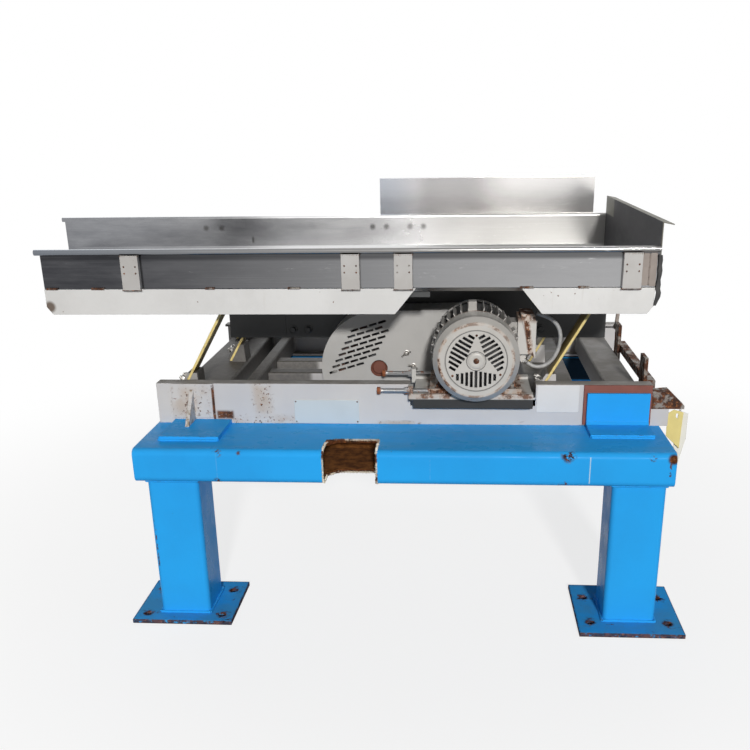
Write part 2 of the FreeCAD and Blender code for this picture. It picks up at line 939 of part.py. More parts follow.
def pan():
    """The folded pan with its rolled rims, open and cut on a slant at the discharge end."""
    right = size("trough_right")
    rise = trough_floor + "trough_depth"
    low, high = -trough_half, trough_half
    inner_bend = size("pan_bend")
    bend = inner_bend + trough_sheet
    made = Piece("trough_pan")
    made.pad(
        "X",
        "trough_rear_left",
        right,
        outline(
            [
                (low, rise),
                (low, trough_floor + bend),
                (low + bend, trough_floor),
                (high - bend, trough_floor),
                (high, trough_floor + bend),
                (high, rise),
                (high - trough_sheet, rise),
                (high - trough_sheet, trough_floor + bend),
                (high - bend, trough_floor + trough_sheet),
                (low + bend, trough_floor + trough_sheet),
                (low + trough_sheet, trough_floor + bend),
                (low + trough_sheet, rise),
            ]
        ),
    )
    beyond = size("trough_rear_left") - "rim_overrun"
    waste = outline([(beyond, low), (bias(low), low), (bias(high), high), (beyond, high)])
    made.cut("Z", trough_floor, rise, waste)
    rim = size("rim_size")
    for end, depthways in ends.items():
        middle = (trough_half + rim / 2 - trough_sheet / 2) * depthways
        start = size(f"trough_{end}_left") - "rim_overrun"
        made.pad(
            "X",
            start,
            right,
            circle(middle, rise, rim),
            circle(middle, rise, rim - trough_sheet * 2),
        )


def end_plate():
    """The closed infeed end, with its top bent outwards and a short return at the rear."""
    inner = size("trough_right")
    outer = inner + trough_sheet
    top = trough_floor + "end_height"
    tip = outer + "end_flange"
    tip_top = top - "end_flange_drop"
    made = Piece("trough_end_plate")
    made.pad(
        "Y",
        -trough_half,
        trough_half,
        outline(
            [
                (inner, trough_floor),
                (outer, trough_floor),
                (outer, top - trough_sheet),
                (tip, tip_top - trough_sheet),
                (tip, tip_top),
                (inner, top),
            ]
        ),
    )
    made.pad(
        "Y",
        trough_half - trough_sheet,
        trough_half,
        outline([(outer, top - "end_return"), (tip, tip_top - trough_sheet), (outer, top - trough_sheet)]),
    )


def stiffeners():
    """Channel stiffeners on the outside of both walls, and the deflector panel on the rear ones."""
    bottom = trough_floor + "skirt_lap"
    top = trough_floor + "trough_depth" - "stiffener_drop"
    width = size("stiffener_width")
    made = Piece("trough_stiffeners")
    for depthways in ends.values():
        face = trough_half * depthways
        out = (trough_half + "stiffener_depth") * depthways
        inside = (trough_half + "stiffener_depth" - trough_sheet) * depthways
        for number in ("one", "two", "three", "four"):
            start = size(f"stiffener_{number}")
            end = start + width
            section = outline(
                [
                    (start, face),
                    (start, out),
                    (end, out),
                    (end, face),
                    (end - trough_sheet, face),
                    (end - trough_sheet, inside),
                    (start + trough_sheet, inside),
                    (start + trough_sheet, face),
                ]
            )
            made.pad("Z", bottom, top, section)
    face = trough_half + "stiffener_depth"
    panel_bottom = trough_floor + "panel_bottom"
    panel = Piece("trough_rear_panel")
    span = box("panel_left", "panel_right", panel_bottom, panel_bottom + "panel_height")
    panel.pad("Y", face, face + trough_sheet, span)


def skirts():
    """Sheet skirts below the front wall, cut back on a slant to clear the motor."""
    top = trough_floor + "skirt_lap"
    bottom = trough_floor - "skirt_drop"
    knee = bottom + "skirt_nose_rise"
    face = -trough_half
    left, right = size("trough_front_left"), size("skirt_outer_right")
    inner_left, inner_right = size("skirt_inner_left"), size("skirt_inner_right")
    shapes = {
        "left": [
            (left, top),
            (left, knee),
            (left + "skirt_nose", bottom),
            (inner_left - "skirt_bevel", bottom),
            (inner_left, top),
        ],
        "right": [
            (inner_right, top),
            (inner_right + "skirt_bevel", bottom),
            (right - "skirt_nose", bottom),
            (right, knee),
            (right, top),
        ],
    }
    for side, corners in shapes.items():
        made = Piece(f"trough_skirt_{side}")
        made.pad("Y", face - trough_sheet, face, outline(corners))


def trough_frame():
    """Flat bars under the pan, and the spine plate that takes the drive's push."""
    reach = trough_half - "bar_end_gap"
    starts = {
        "left": on_slat(size("slat_foot_left"), bar_bottom) - "bar_lead",
        "middle": size("bar_middle_left"),
        "right": on_slat(size("slat_foot_right"), bar_bottom) - "bar_lead",
    }
    bars = Piece("trough_bars")
    for name, start in starts.items():
        bars.pad("Z", bar_bottom, trough_floor, box(start, start + f"bar_{name}_width", -reach, reach))
    spine = Piece("trough_spine")
    side_view = box("spine_left", "spine_right", bar_bottom - "spine_drop", bar_bottom)
    spine.pad("Y", "spine_front", spine_back, side_view)


# Eccentric drive
def eccentric_shaft():
    """The drive shaft with its offset cam."""
    made = Piece("eccentric_shaft")
    made.pad("Y", "crank_front", "crank_rear", circle(crank_x, crank_z, "crank_shaft"))
    made.pad("Y", "cam_front", size("cam_front") + "cam_width", circle(cam_x, cam_z, "cam_size"))


def bearing_blocks():
    """Two pillow blocks that carry the shaft on the bearing rails."""
    half = size("block_length") / 2
    base = crank_z - "block_height"
    bore = size("crank_shaft") + size("block_clearance") * 2
    made = Piece("bearing_blocks")
    for end in ends:
        low = size(f"block_{end}")
        high = low + "block_width"
        made.pad("Y", low, high, circle(crank_x, crank_z, size("block_height") * 2))
        made.pad("Y", low, high, box(crank_x - half, crank_x + half, base, base + "block_foot"))
        made.cut("Y", low, high, circle(crank_x, crank_z, bore))


def rod_and_pin():
    """The connecting rod from the cam to a pin on the spine, with a rubber bush in its eye."""
    low = size("cam_front") + "rod_inset"
    high = size("cam_front") + "cam_width" - "rod_inset"
    half = size("rod_arm") / 2
    side_x, side_z = half * turned("sin", lean), half * turned("cos", lean)
    arm = outline(
        [
            (cam_x + side_x, cam_z + side_z),
            (eye_x + side_x, eye_z + side_z),
            (eye_x - side_x, eye_z - side_z),
            (cam_x - side_x, cam_z - side_z),
        ]
    )
    rod = Piece("connecting_rod")
    rod.pad("Y", low, high, circle(cam_x, cam_z, "rod_ring"))
    rod.pad("Y", low, high, arm)
    rod.pad("Y", low, high, circle(eye_x, eye_z, "rod_eye"))
    rod.cut("Y", low, high, circle(cam_x, cam_z, size("cam_size") + size("rod_clearance") * 2))
    rod.cut("Y", low, high, circle(eye_x, eye_z, "rod_eye_bore"))
    bush = Piece("rod_bush")
    bore = size("pin_size") + size("bush_clearance") * 2
    bush.pad("Y", low, high, circle(eye_x, eye_z, "rod_eye_bore"), circle(eye_x, eye_z, bore))
    plate_back = spine_back + "pin_plate_thick"
    half = size("pin_plate") / 2
    pin = Piece("drive_pin")
    pin.pad("Y", spine_back, plate_back, box(eye_x - half, eye_x + half, eye_z - half, eye_z + half))
    pin.pad("Y", plate_back, plate_back + "pin_reach", circle(eye_x, eye_z, "pin_size"))


# Belt drive
def grooved_rim(radius):
    """The rim's profile from its front edge to its back edge, with a V-groove for each belt."""
    bottom = radius - "groove_depth"
    wide, narrow = size("groove_wide") / 2, size("groove_narrow") / 2
    points = [(sheave_front, radius)]
    for centre in grooves:
        points.append((centre - wide, radius))
        points.append((centre - narrow, bottom))
        points.append((centre + narrow, bottom))
        points.append((centre + wide, radius))
    points.append((sheave_back, radius))
    return points


def sheaves():
    """The large sheave on the eccentric shaft, dished round its hub, and the small one on the motor."""
    large = size("sheave_large") / 2
    bore = size("crank_shaft") / 2
    hub = size("sheave_hub") / 2
    inner_rim = large - "sheave_rim"
    middle = sheave_front + size("sheave_width") / 2
    web = size("sheave_web") / 2
    driven = Piece("sheave_large")
    profile = [(sheave_front, bore), (sheave_front, hub), (middle - web, hub)]
    profile += [(middle - web, inner_rim), (sheave_front, inner_rim)]
    profile += grooved_rim(large)
    profile += [(sheave_back, inner_rim), (middle + web, inner_rim)]
    profile += [(middle + web, hub), (sheave_back, hub), (sheave_back, bore)]
    driven.turn(crank_x, crank_z, profile)
    shaft = size("motor_shaft") / 2
    driver = Piece("sheave_small")
    profile = [(sheave_front, shaft)] + grooved_rim(size("sheave_small") / 2) + [(sheave_back, shaft)]
    driver.turn(motor_x, motor_z, profile)


def belts():
    """Two V-belts that lie in the grooves."""
    seat = size("belt_seat") - "groove_depth"
    large = size("sheave_large") / 2 + seat
    small = size("sheave_small") / 2 + seat
    thick, half = size("belt_thick"), size("belt_width") / 2
    crank, motor = (crank_x, crank_z), (motor_x, motor_z)
    outside = loop(crank, large + thick, motor, small + thick)
    inside = loop(crank, large, motor, small)
    made = Piece("v_belts")
    for centre in grooves:
        made.pad("Y", centre - half, centre + half, outside, inside)


def guard():
    """The belt guard: a closed case and a front cover with slanted rows of slots."""
    front, skin = size("guard_front"), size("guard_sheet")
    cover_back = front + skin
    back = size("block_front") - "bearing_rail_margin"
    crank, motor = (crank_x, crank_z), (motor_x, motor_z)
    large, small = size("guard_large"), size("guard_small")
    outside = loop(crank, large, motor, small)
    port = size("guard_port")
    case = Piece("guard_case")
    case.pad("Y", cover_back, back, outside)
    case.cut("Y", cover_back, back - skin, loop(crank, large - skin, motor, small - skin))
    case.cut("Y", back - skin, back, circle(crank_x, crank_z, port))
    cover = Piece("guard_cover")
    cover.pad("Y", front, cover_back, outside)
    cover.cut("Y", front, cover_back, circle(crank_x, crank_z, port), circle(motor_x, motor_z, port))
    guard_slots(cover)


def tilted_sketch(cover):
    """An empty sketch on the guard's face at its first slot, turned as the slots are."""
    drawn = cover.sketch("Y", "guard_front", crank_x + "guard_slot_x", crank_z + "guard_slot_z")
    bind(drawn, "AttachmentOffset.Rotation.Angle", size("guard_slot_tilt"))
    return drawn


def guard_slots(cover):
    """Rows of slots that rise to the right, each row set back from the one above; some have one more."""
    long_half, half = size("guard_slot_long") / 2, size("guard_slot_high") / 2
    row_lean = size("guard_row_lean")
    back = (-turned("cos", row_lean), -turned("sin", row_lean))
    longer = tilted_sketch(cover)
    for row in GUARD_LONG_ROWS:
        down = size("guard_row_pitch") * row
        middle = size("guard_slot_pitch") * "guard_slot_count" + back[0] * down
        level = back[1] * down
        box(middle - long_half, middle + long_half, level - half, level + half)(longer)
    cover.feature("Pocket", longer, Length=size("guard_sheet"))
    doc.recompute()
    drawn = tilted_sketch(cover)
    box(-long_half, long_half, -half, half)(drawn)
    line = Part.LineSegment(Vector(0, 0, 0), Vector(back[0].value, back[1].value, 0))
    row_line = drawn.addGeometry(line, True)
    drawn.addConstraint(Sketcher.Constraint("Coincident", row_line, 1, -1, 1))
    place(drawn, row_line, 2, back)
    slot = cover.feature("Pocket", drawn, Length=size("guard_sheet"))
    doc.recompute()
    rows = cover.body.newObject("PartDesign::LinearPattern", "guard_cover_rows")
    rows.Originals = [slot]
    rows.Direction = (drawn, ["H_Axis"])
    rows.Direction2 = (drawn, ["Axis0"])
    rows.Mode = "Spacing"
    rows.Mode2 = "Spacing"
    rows.Occurrences = int(SIZES["guard_slot_count"])
    rows.Occurrences2 = int(SIZES["guard_row_count"])
    bind(rows, "Offset", size("guard_slot_pitch"))
    bind(rows, "Offset2", size("guard_row_pitch"))
    bind(rows, "Occurrences", size("guard_slot_count"))
    bind(rows, "Occurrences2", size("guard_row_count"))
    cover.body.Tip = rows


# Motor
def motor_frame():
    """The motor's barrel with its fins, end bell, feet, lifting lug and the boss for its box."""
    front, rear = size("motor_front"), size("motor_rear")
    barrel = cowl_reach - "motor_barrel_step"
    bell = barrel + "motor_bell_rise"
    boss = size("motor_boss") / 2
    bore = size("motor_shaft") / 2 + "motor_clearance"
    bell_front = rear - "motor_bell_depth"
    bell_back = rear - "motor_boss_depth"
    seat = cowl_reach - "cowl_sheet" - "cowl_clearance"
    seat_front = cowl_back - "cowl_seat"
    frame = Piece("motor_frame")
    axis = frame.turn(
        motor_x,
        motor_z,
        [
            (front, bore),
            (front, barrel),
            (seat_front, barrel),
            (seat_front, seat),
            (cowl_back, seat),
            (cowl_back, barrel),
            (bell_front, barrel),
            (bell_front, bell),
            (bell_back - "motor_boss_depth", bell),
            (bell_back, barrel),
            (bell_back, boss),
            (rear, boss),
            (rear, bore),
        ],
    )
    fin, reach = size("fin_thick") / 2, cowl_reach + "fin_rise"
    fin_back = cowl_back + "fin_length"
    fin_root = motor_z + barrel - "fin_thick"
    blade = box(motor_x - fin, motor_x + fin, fin_root, motor_z + reach)
    made = frame.pad("Y", cowl_back, fin_back, blade)
    frame.repeat(made, axis, size("fin_count"))
    lowest = platform_top + "fin_clearance"
    under = box(motor_x - reach, motor_x + reach, motor_z - reach - "fin_thick", lowest)
    frame.cut("Y", cowl_back, fin_back, under)
    rightmost = size("box_left") - "fin_clearance"
    beside = box(rightmost, rightmost + "box_root", motor_z - reach, motor_z + reach)
    frame.cut("Y", cowl_back, fin_back, beside)
    half, wide = size("foot_spacing") / 2, size("foot_pad_width") / 2
    foot_front = size("foot_pad_front")
    foot_back = foot_front + "foot_pad_depth"
    for sideways in sides.values():
        middle = motor_x + half * sideways
        pad = box(middle - wide, middle + wide, motor_base, motor_base + "foot_pad_thick")
        frame.pad("Y", foot_front, foot_back, pad)
        hip = motor_x + (barrel - "foot_pad_thick") * sideways
        web = outline(
            [
                (middle - size("foot_web") * sideways, motor_base),
                (middle + wide / 2 * sideways, motor_base),
                (hip, motor_z),
                (hip - size("foot_web") * sideways, motor_z),
            ]
        )
        frame.pad("Y", cowl_back, foot_back, web)
    lug, lug_x = size("lug_thick") / 2, motor_x - "lug_shift"
    frame.pad(
        "Y",
        cowl_back,
        cowl_back + "lug_depth",
        box(lug_x - lug, lug_x + lug, motor_z + boss, motor_z + cowl_reach + "lug_rise"),
    )
    margin = size("box_boss_margin")
    boss_low = size("box_front") + margin
    boss_high = size("box_front") + "box_depth" - margin
    boss_bottom = size("box_bottom") + margin * 2
    box_boss = box(boss_low, boss_high, boss_bottom, boss_bottom + "box_boss_height")
    frame.pad("X", motor_x + boss, "box_left", box_boss)


def motor_rotor():
    """The motor's shaft, and the fan on its front end."""
    fan_front = size("cowl_front") + "cowl_round"
    fan_back = fan_front + "fan_depth"
    shaft = Piece("motor_shaft")
    shaft.pad("Y", fan_front, sheave_back + "motor_shaft_overrun", circle(motor_x, motor_z, "motor_shaft"))
    hub, tip = size("fan_hub") / 2, size("fan_size") / 2
    bore = size("motor_shaft") / 2
    blade = size("fan_blade")
    fan = Piece("motor_fan")
    profile = [(fan_front, bore), (fan_front, hub), (fan_back - blade, hub), (fan_back - blade, tip)]
    profile += [(fan_back, tip), (fan_back, bore)]
    axis = fan.turn(motor_x, motor_z, profile)
    span = box(motor_x - blade / 2, motor_x + blade / 2, motor_z + hub - blade, motor_z + tip)
    made = fan.pad("Y", fan_front, fan_back - blade, span)
    fan.repeat(made, axis, size("fan_count"))


def fan_cowl():
    """The fan's cowl, with three fans of slots in its face."""
    front, skin = size("cowl_front"), size("cowl_sheet")
    outer, nose = cowl_reach, cowl_reach - "cowl_nose_step"
    shoulder = front + "cowl_round"
    cowl = Piece("fan_cowl")
    axis = cowl.turn(
        motor_x,
        motor_z,
        [
            (front, 0.0),
            (front, nose),
            (shoulder, outer),
            (cowl_back, outer),
            (cowl_back, outer - skin),
            (shoulder, outer - skin),
            (front + skin, nose - skin),
            (front + skin, 0.0),
        ],
    )
    reach, hub = size("grille_size") / 2, size("grille_hub") / 2
    half = size("grille_slot") / 2
    slots = []
    for step in GRILLE_STEPS:
        offset = size("grille_pitch") * step
        low = motor_z - root(reach * reach - offset * offset)
        high = motor_z - hub - size("grille_pitch") * abs(step) * "grille_fan"
        slots.append(box(motor_x + offset - half, motor_x + offset + half, low, high))
    made = cowl.cut("Y", front, front + skin, *slots)
    cowl.repeat(made, axis, size(GRILLE_SECTORS))


def terminal_box():
    """The wedge of the terminal box with its lid, and the elbow that the conduit leaves by."""
    left, bottom = size("box_left"), size("box_bottom")
    top = bottom + "box_height"
    front = size("box_front")
    back = front + "box_depth"
    head, heel = left + "box_head", left + "box_root"
    made = Piece("terminal_box")
    made.pad("Y", front, back, outline([(left, bottom), (heel, bottom), (head, top), (left, top)]))
    gap = size("lid_gap")
    lid_right = head + "lid_width"
    lid_top = top + "lid_rise"
    lid = outline(
        [
            (head + gap, top),
            (heel + gap, bottom),
            (heel + "lid_drop", bottom - "lid_drop"),
            (lid_right, bottom),
            (lid_right, lid_top - "lid_bevel"),
            (lid_right - "box_head", lid_top),
            (head + gap, lid_top),
        ]
    )
    made.pad("Y", front, back, lid)
    (start_x, start_z), (next_x, next_z) = CONDUIT_ROUTE[0], CONDUIT_ROUTE[1]
    run = math.hypot(next_x - start_x, next_z - start_z)
    half = size("elbow_width") / 2
    across_x, across_z = half * ((start_z - next_z) / run), half * ((next_x - start_x) / run)
    elbow_left = size(start_x) - across_x - half / 2
    elbow = outline(
        [
            (elbow_left, bottom),
            (size(start_x) + half / 2, bottom),
            (size(start_x) + across_x, size(start_z) + across_z),
            (size(start_x) - across_x, size(start_z) - across_z),
            (elbow_left, size(start_z)),
        ]
    )
    made.pad("Y", "elbow_front", size("elbow_front") + "elbow_width", elbow)


def conduit():
    """The flexible conduit: straight runs joined by arcs as large as the runs allow."""
    depth = SIZES["elbow_front"] + SIZES["elbow_width"] / 2
    points = [Vector(x, depth, z) for x, z in CONDUIT_ROUTE]
    edges = []
    radii = []
    start = points[0]
    for before, corner, after in zip(points, points[1:], points[2:]):
        arrive, leave = (corner - before), (after - corner)
        trim = BEND_SHARE * min(arrive.Length, leave.Length)
        half_turn = arrive.getAngle(leave) / 2
        radii.append(trim / math.tan(half_turn))
        arrive.normalize()
        leave.normalize()
        enter = corner - arrive * trim
        leaving = corner + leave * trim
        inward = leave - arrive
        inward.normalize()
        middle = corner + inward * (radii[-1] / math.cos(half_turn) - radii[-1])
        edges.append(Part.LineSegment(start, enter).toShape())
        edges.append(Part.Arc(enter, middle, leaving).toShape())
        start = leaving
    edges.append(Part.LineSegment(start, points[-1]).toShape())
    path = Part.Wire(edges)
    first = points[1] - points[0]
    ring = Part.Wire(Part.makeCircle(SIZES["conduit_size"] / 2, points[0], first))
    made = doc.addObject("Part::Feature", "conduit")
    made.Label = "conduit"
    made.Shape = path.makePipeShell([ring], True, True)
    pieces.append(made)
    section = math.pi * SIZES["conduit_size"] ** 2 / 4
    print("conduit radii", [round(radius, 1) for radius in radii])
    print("conduit volume", made.Shape.Volume, "section times length", section * path.Length)


def platform():
    """The motor's platform with its front lip, slide rails and lugs, and the two tension screws."""
    left, right = size("platform_left"), size("platform_right")
    front, rear = size("platform_front"), size("platform_rear")
    made = Piece("motor_platform")
    made.pad("Z", cross_top, platform_top, box(left, right, front, rear))
    lip_bottom = platform_top - "platform_lip"
    made.pad("Y", front, front + "platform_lip_thick", box(left, right, lip_bottom, cross_top))
    screws = Piece("tension_screws")
    screw_z = motor_base + size("foot_pad_thick") / 2
    foot_left = motor_x - size("foot_spacing") / 2 - size("foot_pad_width") / 2
    thick = size("screw_size")
    hole = thick + size("screw_clearance") * 2
    lug_left = left - "screw_lug"
    gap = size("slide_gap") / 2
    for low in (front, size("slide_rear")):
        high = low + "slide_width"
        middle = low + size("slide_width") / 2
        runs = (box(left, motor_x - gap, low, high), box(motor_x + gap, right, low, high))
        made.pad("Z", platform_top, motor_base, *runs)
        lug = box(low, high, cross_top, screw_z + thick / 2 + "screw_lug_rise")
        made.pad("X", lug_left, left, lug)
        made.cut("X", lug_left, left, circle(middle, screw_z, hole))
        head = size("screw_left") + "screw_head_thick"
        screws.pad("X", head, foot_left, circle(middle, screw_z, thick))
        screws.pad("X", "screw_left", head, hexagon(middle, screw_z, "screw_head"))
        nut = hexagon(middle, screw_z, "screw_head")
        screws.pad("X", lug_left - "screw_nut_thick", lug_left, nut)


for make in (
    feet_and_legs,
    beams,
    fixings,
    rails,
    cross_members,
    bearing_rails,
    end_remains,
    slats,
    pan,
    end_plate,
    stiffeners,
    skirts,
    trough_frame,
    eccentric_shaft,
    bearing_blocks,
    rod_and_pin,
    sheaves,
    belts,
    guard,
    motor_frame,
    motor_rotor,
    fan_cowl,
    terminal_box,
    conduit,
    platform,
):
    make()

doc.recompute()
for item in doc.Objects:
    if "Invalid" in item.State or "Error" in item.State:
        raise RuntimeError(f"{item.Name} failed: {item.State}")
for piece in pieces:
    if piece.Shape.isNull() or not piece.Shape.isValid():
        raise RuntimeError(f"{piece.Label} has no valid shape")
os.makedirs("parts", exist_ok=True)
for piece in pieces:
    piece.Shape.exportStep(f"parts/{piece.Label}.step")
print(len(pieces), "pieces")
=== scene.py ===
import json
import math
import random

import bmesh
import bpy
from mathutils import Matrix, Vector


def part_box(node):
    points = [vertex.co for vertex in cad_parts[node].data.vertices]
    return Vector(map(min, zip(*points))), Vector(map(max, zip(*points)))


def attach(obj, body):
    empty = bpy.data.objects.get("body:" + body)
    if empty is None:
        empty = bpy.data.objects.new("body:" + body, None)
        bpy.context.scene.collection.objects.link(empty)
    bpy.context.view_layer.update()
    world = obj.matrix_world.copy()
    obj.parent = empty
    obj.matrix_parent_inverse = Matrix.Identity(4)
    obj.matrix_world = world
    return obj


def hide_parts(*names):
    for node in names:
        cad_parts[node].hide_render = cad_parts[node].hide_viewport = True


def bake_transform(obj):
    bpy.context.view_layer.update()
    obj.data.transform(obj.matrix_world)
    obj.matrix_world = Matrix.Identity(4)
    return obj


# Looks for the vibrating conveyor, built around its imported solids.
# Places and sizes are in millimetres and go to Blender in metres.
# Only the distances in the steps of the finishes are in metres already.

MM = 0.001
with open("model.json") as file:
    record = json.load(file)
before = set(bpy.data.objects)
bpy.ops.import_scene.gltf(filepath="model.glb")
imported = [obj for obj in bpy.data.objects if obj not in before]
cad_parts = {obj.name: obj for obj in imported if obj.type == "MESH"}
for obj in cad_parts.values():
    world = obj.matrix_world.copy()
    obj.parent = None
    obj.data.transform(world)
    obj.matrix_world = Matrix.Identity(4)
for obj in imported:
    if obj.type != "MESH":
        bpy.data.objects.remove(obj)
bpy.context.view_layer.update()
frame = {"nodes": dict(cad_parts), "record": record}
nodes = frame["nodes"]
random.seed(11)

LEAN = math.radians(30)
SLOPE = math.tan(LEAN)
UP = Vector((0, 0, 1))
FORWARD = Vector((0, -1, 0))
RIGHT = Vector((1, 0, 0))

# Material building
CORNER_TURN = (0.98, 0.8)
SEEN_RAYS = ("Camera", "Glossy", "Transmission")


class Value:
    """A number that varies over a surface. As masks, & multiplies two of them and | takes the stronger."""

    def __init__(self, owner, socket):
        self.owner = owner
        self.socket = socket

    def calc(self, kind, other=0):
        """The result of a sum, kept between 0 and 1."""
        made = self.owner.add("Math", {0: self, 1: other}, operation=kind, use_clamp=True)
        return Value(self.owner, made[0])

    def __and__(self, other):
        return self.calc("MULTIPLY", other)

    def __or__(self, other):
        return self.calc("MAXIMUM", other)

    def step(self, low, high, start=0, end=1):
        """A smooth change from start to end as the value goes from low to high, which may lie below low."""
        limits = {"Value": self, "From Min": low, "From Max": high, "To Min": start, "To Max": end}
        made = self.owner.add("MapRange", limits, interpolation_type="SMOOTHSTEP")
        return Value(self.owner, made[0])


class Nodes:
    """A node tree with short calls."""

    def __init__(self, tree):
        self.tree = tree

    def add(self, kind, inputs, **settings):
        """Adds a shader node with its settings and inputs, and gives its outputs."""
        node = self.tree.nodes.new("ShaderNode" + kind)
        for key, setting in settings.items():
            setattr(node, key, setting)
        for key, source in inputs.items():
            self.join(source, node.inputs[key])
        return node.outputs

    def join(self, source, socket):
        """Joins a socket to a source, or sets it to a number, a place or a colour."""
        source = getattr(source, "socket", source)
        if hasattr(source, "links"):
            self.tree.links.new(source, socket)
        elif isinstance(source, (tuple, list)) and len(socket.default_value) == 4:
            socket.default_value = (*source, 1)
        else:
            socket.default_value = source

    def seen(self):
        """One where a ray comes from the camera, a glossy surface or glass."""
        path = self.add("LightPath", {})
        first, second, third = [Value(self, path[f"Is {kind} Ray"]) for kind in SEEN_RAYS]
        return first | second | third


class Shade(Nodes):
    """A material in the making: a tone that colours are laid over, and a relief."""

    def __init__(self, name, edge=None, metallic=0):
        self.made = bpy.data.materials.new(name)
        self.made.use_nodes = True
        super().__init__(self.made.node_tree)
        self.put("Metallic", metallic)
        self.place = self.add("TexCoord", {})["Object"]
        self.normal = self.add("NewGeometry", {})["Normal"]
        self.axes = self.split(self.place)
        self.x, self.y, self.z = self.axes
        self.facing = self.split(self.normal)
        self.tone = None
        self.relief = None
        self.corner = self.edges(edge) if edge else None

    def put(self, name, source):
        """Joins or sets an input of the material's shader."""
        self.join(source, self.tree.nodes["Principled BSDF"].inputs[name])

    def split(self, place):
        """The three parts of a place or direction."""
        return [Value(self, part) for part in self.add("SeparateXYZ", {0: place})]

    def noise(self, scale, detail=4, rough=0.55, stretch=(1, 1, 1), shift=0):
        """Noise from 0 to 1; scale is in features per metre, and stretch above 1 is finer along an axis."""
        away = (shift, shift * 0.7, shift * 1.3)
        moved = self.add("Mapping", {"Vector": self.place, "Location": away, "Scale": stretch})
        inputs = {"Vector": moved[0], "Scale": scale, "Detail": detail, "Roughness": rough}
        return Value(self, self.add("TexNoise", inputs)["Fac"])

    def mix(self, share, first, second):
        """A colour between two, by a mask."""
        return self.add("Mix", {0: share, 6: first, 7: second}, data_type="RGBA")[2]

    def blend(self, share, first, second):
        """A number between two, by a mask."""
        return Value(self, self.add("Mix", {0: share, 2: first, 3: second}, data_type="FLOAT")[0])

    def over(self, mask, colour):
        """Lays a colour over the tone so far."""
        self.tone = self.mix(mask, self.tone, colour)

    def inside(self, low, high, soft):
        """A soft-edged box; None leaves a side open."""
        sides = []
        for axis, start, end in zip(self.axes, low, high):
            if start is not None:
                sides.append(axis.step((start - soft) * MM, (start + soft) * MM))
            if end is not None:
                sides.append(axis.step((end + soft) * MM, (end - soft) * MM))
        whole = sides[0]
        for side in sides[1:]:
            whole &= side
        return whole

    def folded(self):
        """The place with its distances from the middle, so that one mask serves all four corners."""
        return self.add("VectorMath", {0: self.place}, operation="ABSOLUTE")[0]

    def distance(self, place, centre):
        """How far a place is from a point, in metres."""
        inputs = {0: place, 1: [part * MM for part in centre]}
        return Value(self, self.add("VectorMath", inputs, operation="DISTANCE")["Value"])

    def near(self, centre, radius, soft, place=None):
        """A soft-edged ball round a point."""
        away = self.distance(self.place if place is None else place, centre)
        return away.step((radius + soft) * MM, (radius - soft) * MM)

    def edges(self, radius):
        """Where the surface turns a corner, and a softened normal that rounds it."""
        self.relief = self.add("Bevel", {"Radius": radius * MM}, samples=6)["Normal"]
        across = {0: self.relief, 1: self.normal}
        turned = self.add("VectorMath", across, operation="DOT_PRODUCT")["Value"]
        return Value(self, turned).step(*CORNER_TURN)

    def bump(self, height, depth, strength):
        """Relief from a height; depth is in millimetres."""
        inputs = {"Strength": strength, "Distance": depth * MM, "Height": height}
        if self.relief is not None:
            inputs["Normal"] = self.relief
        self.relief = self.add("Bump", inputs)["Normal"]

    def rust(self):
        """Patchy rust from dark brown to orange."""
        brown = self.mix(self.noise(45, 6, 0.65).step(0.38, 0.62), RUST_DARK, RUST_BROWN)
        return self.mix(self.noise(120, 4, 0.6, shift=3).step(0.55, 0.72), brown, RUST_ORANGE)

    def done(self, rough, metallic=None):
        """Joins up the shader and gives the material."""
        self.put("Base Color", self.tone)
        self.put("Roughness", rough)
        self.put("Normal", self.relief)
        if metallic is not None:
            self.put("Metallic", metallic)
        return self.made


# Colours; a pair is mixed by a mask
RUST_DARK = (0.035, 0.014, 0.008)
RUST_BROWN = (0.13, 0.045, 0.018)
RUST_ORANGE = (0.36, 0.13, 0.04)
RUST_SCALE = (0.26, 0.105, 0.03), (0.1, 0.038, 0.014)
BLUE = (0.026, 0.39, 0.9)
BLUE_WORN = (0.026, 0.35, 0.82)
BLUE_CHALK = (0.055, 0.3, 0.6)
BLUE_SCRATCH = (0.42, 0.62, 0.78)
# Near-black painted shade under the trough
BLUE_PAINTED_SHADE = (0.012, 0.016, 0.02)
GREY_PAINT = (0.58, 0.56, 0.545)
GREY_COOL = (0.52, 0.51, 0.515)
GREY_DUST = (0.27, 0.255, 0.235)
GREY_STAINED = (0.38, 0.25, 0.14)
# Painted shade inside the base
BASE_PAINTED_SHADE = (0.075, 0.068, 0.058), (0.035, 0.031, 0.027)
BARE_STEEL = (0.22, 0.2, 0.18)
BARE_BROWN = (0.3, 0.24, 0.18)
# Trough: lit and dim copies, painted reflection, and painted shade
TROUGH_DIM = (0.17, 0.175, 0.19), (0.47, 0.465, 0.465)
TROUGH_LIT = (0.28, 0.285, 0.3), (0.56, 0.555, 0.545)
TROUGH_BACK_PAINTED_REFLECTION = (0.84, 0.84, 0.85)
TROUGH_PAINTED_SHADE_NEAR_END = (0.27, 0.266, 0.258)
TROUGH_FRONT_PAINTED_REFLECTION = (0.045, 0.046, 0.052), (0.38, 0.38, 0.385)
TROUGH_FRONT_SMEAR = (0.2, 0.2, 0.208)
TROUGH_PAINTED_RIM_SHADOW = (0.02, 0.021, 0.024)
TROUGH_RIM_PAINTED_REFLECTION = (0.17, 0.19, 0.22), (0.25, 0.245, 0.24)
TROUGH_SCUFF = (0.86, 0.86, 0.85)
TROUGH_GRAIN = (0.75, 0.75, 0.75)
TROUGH_MARK = (0.1, 0.095, 0.09)
PANEL = (0.52, 0.505, 0.505), (0.64, 0.62, 0.61)
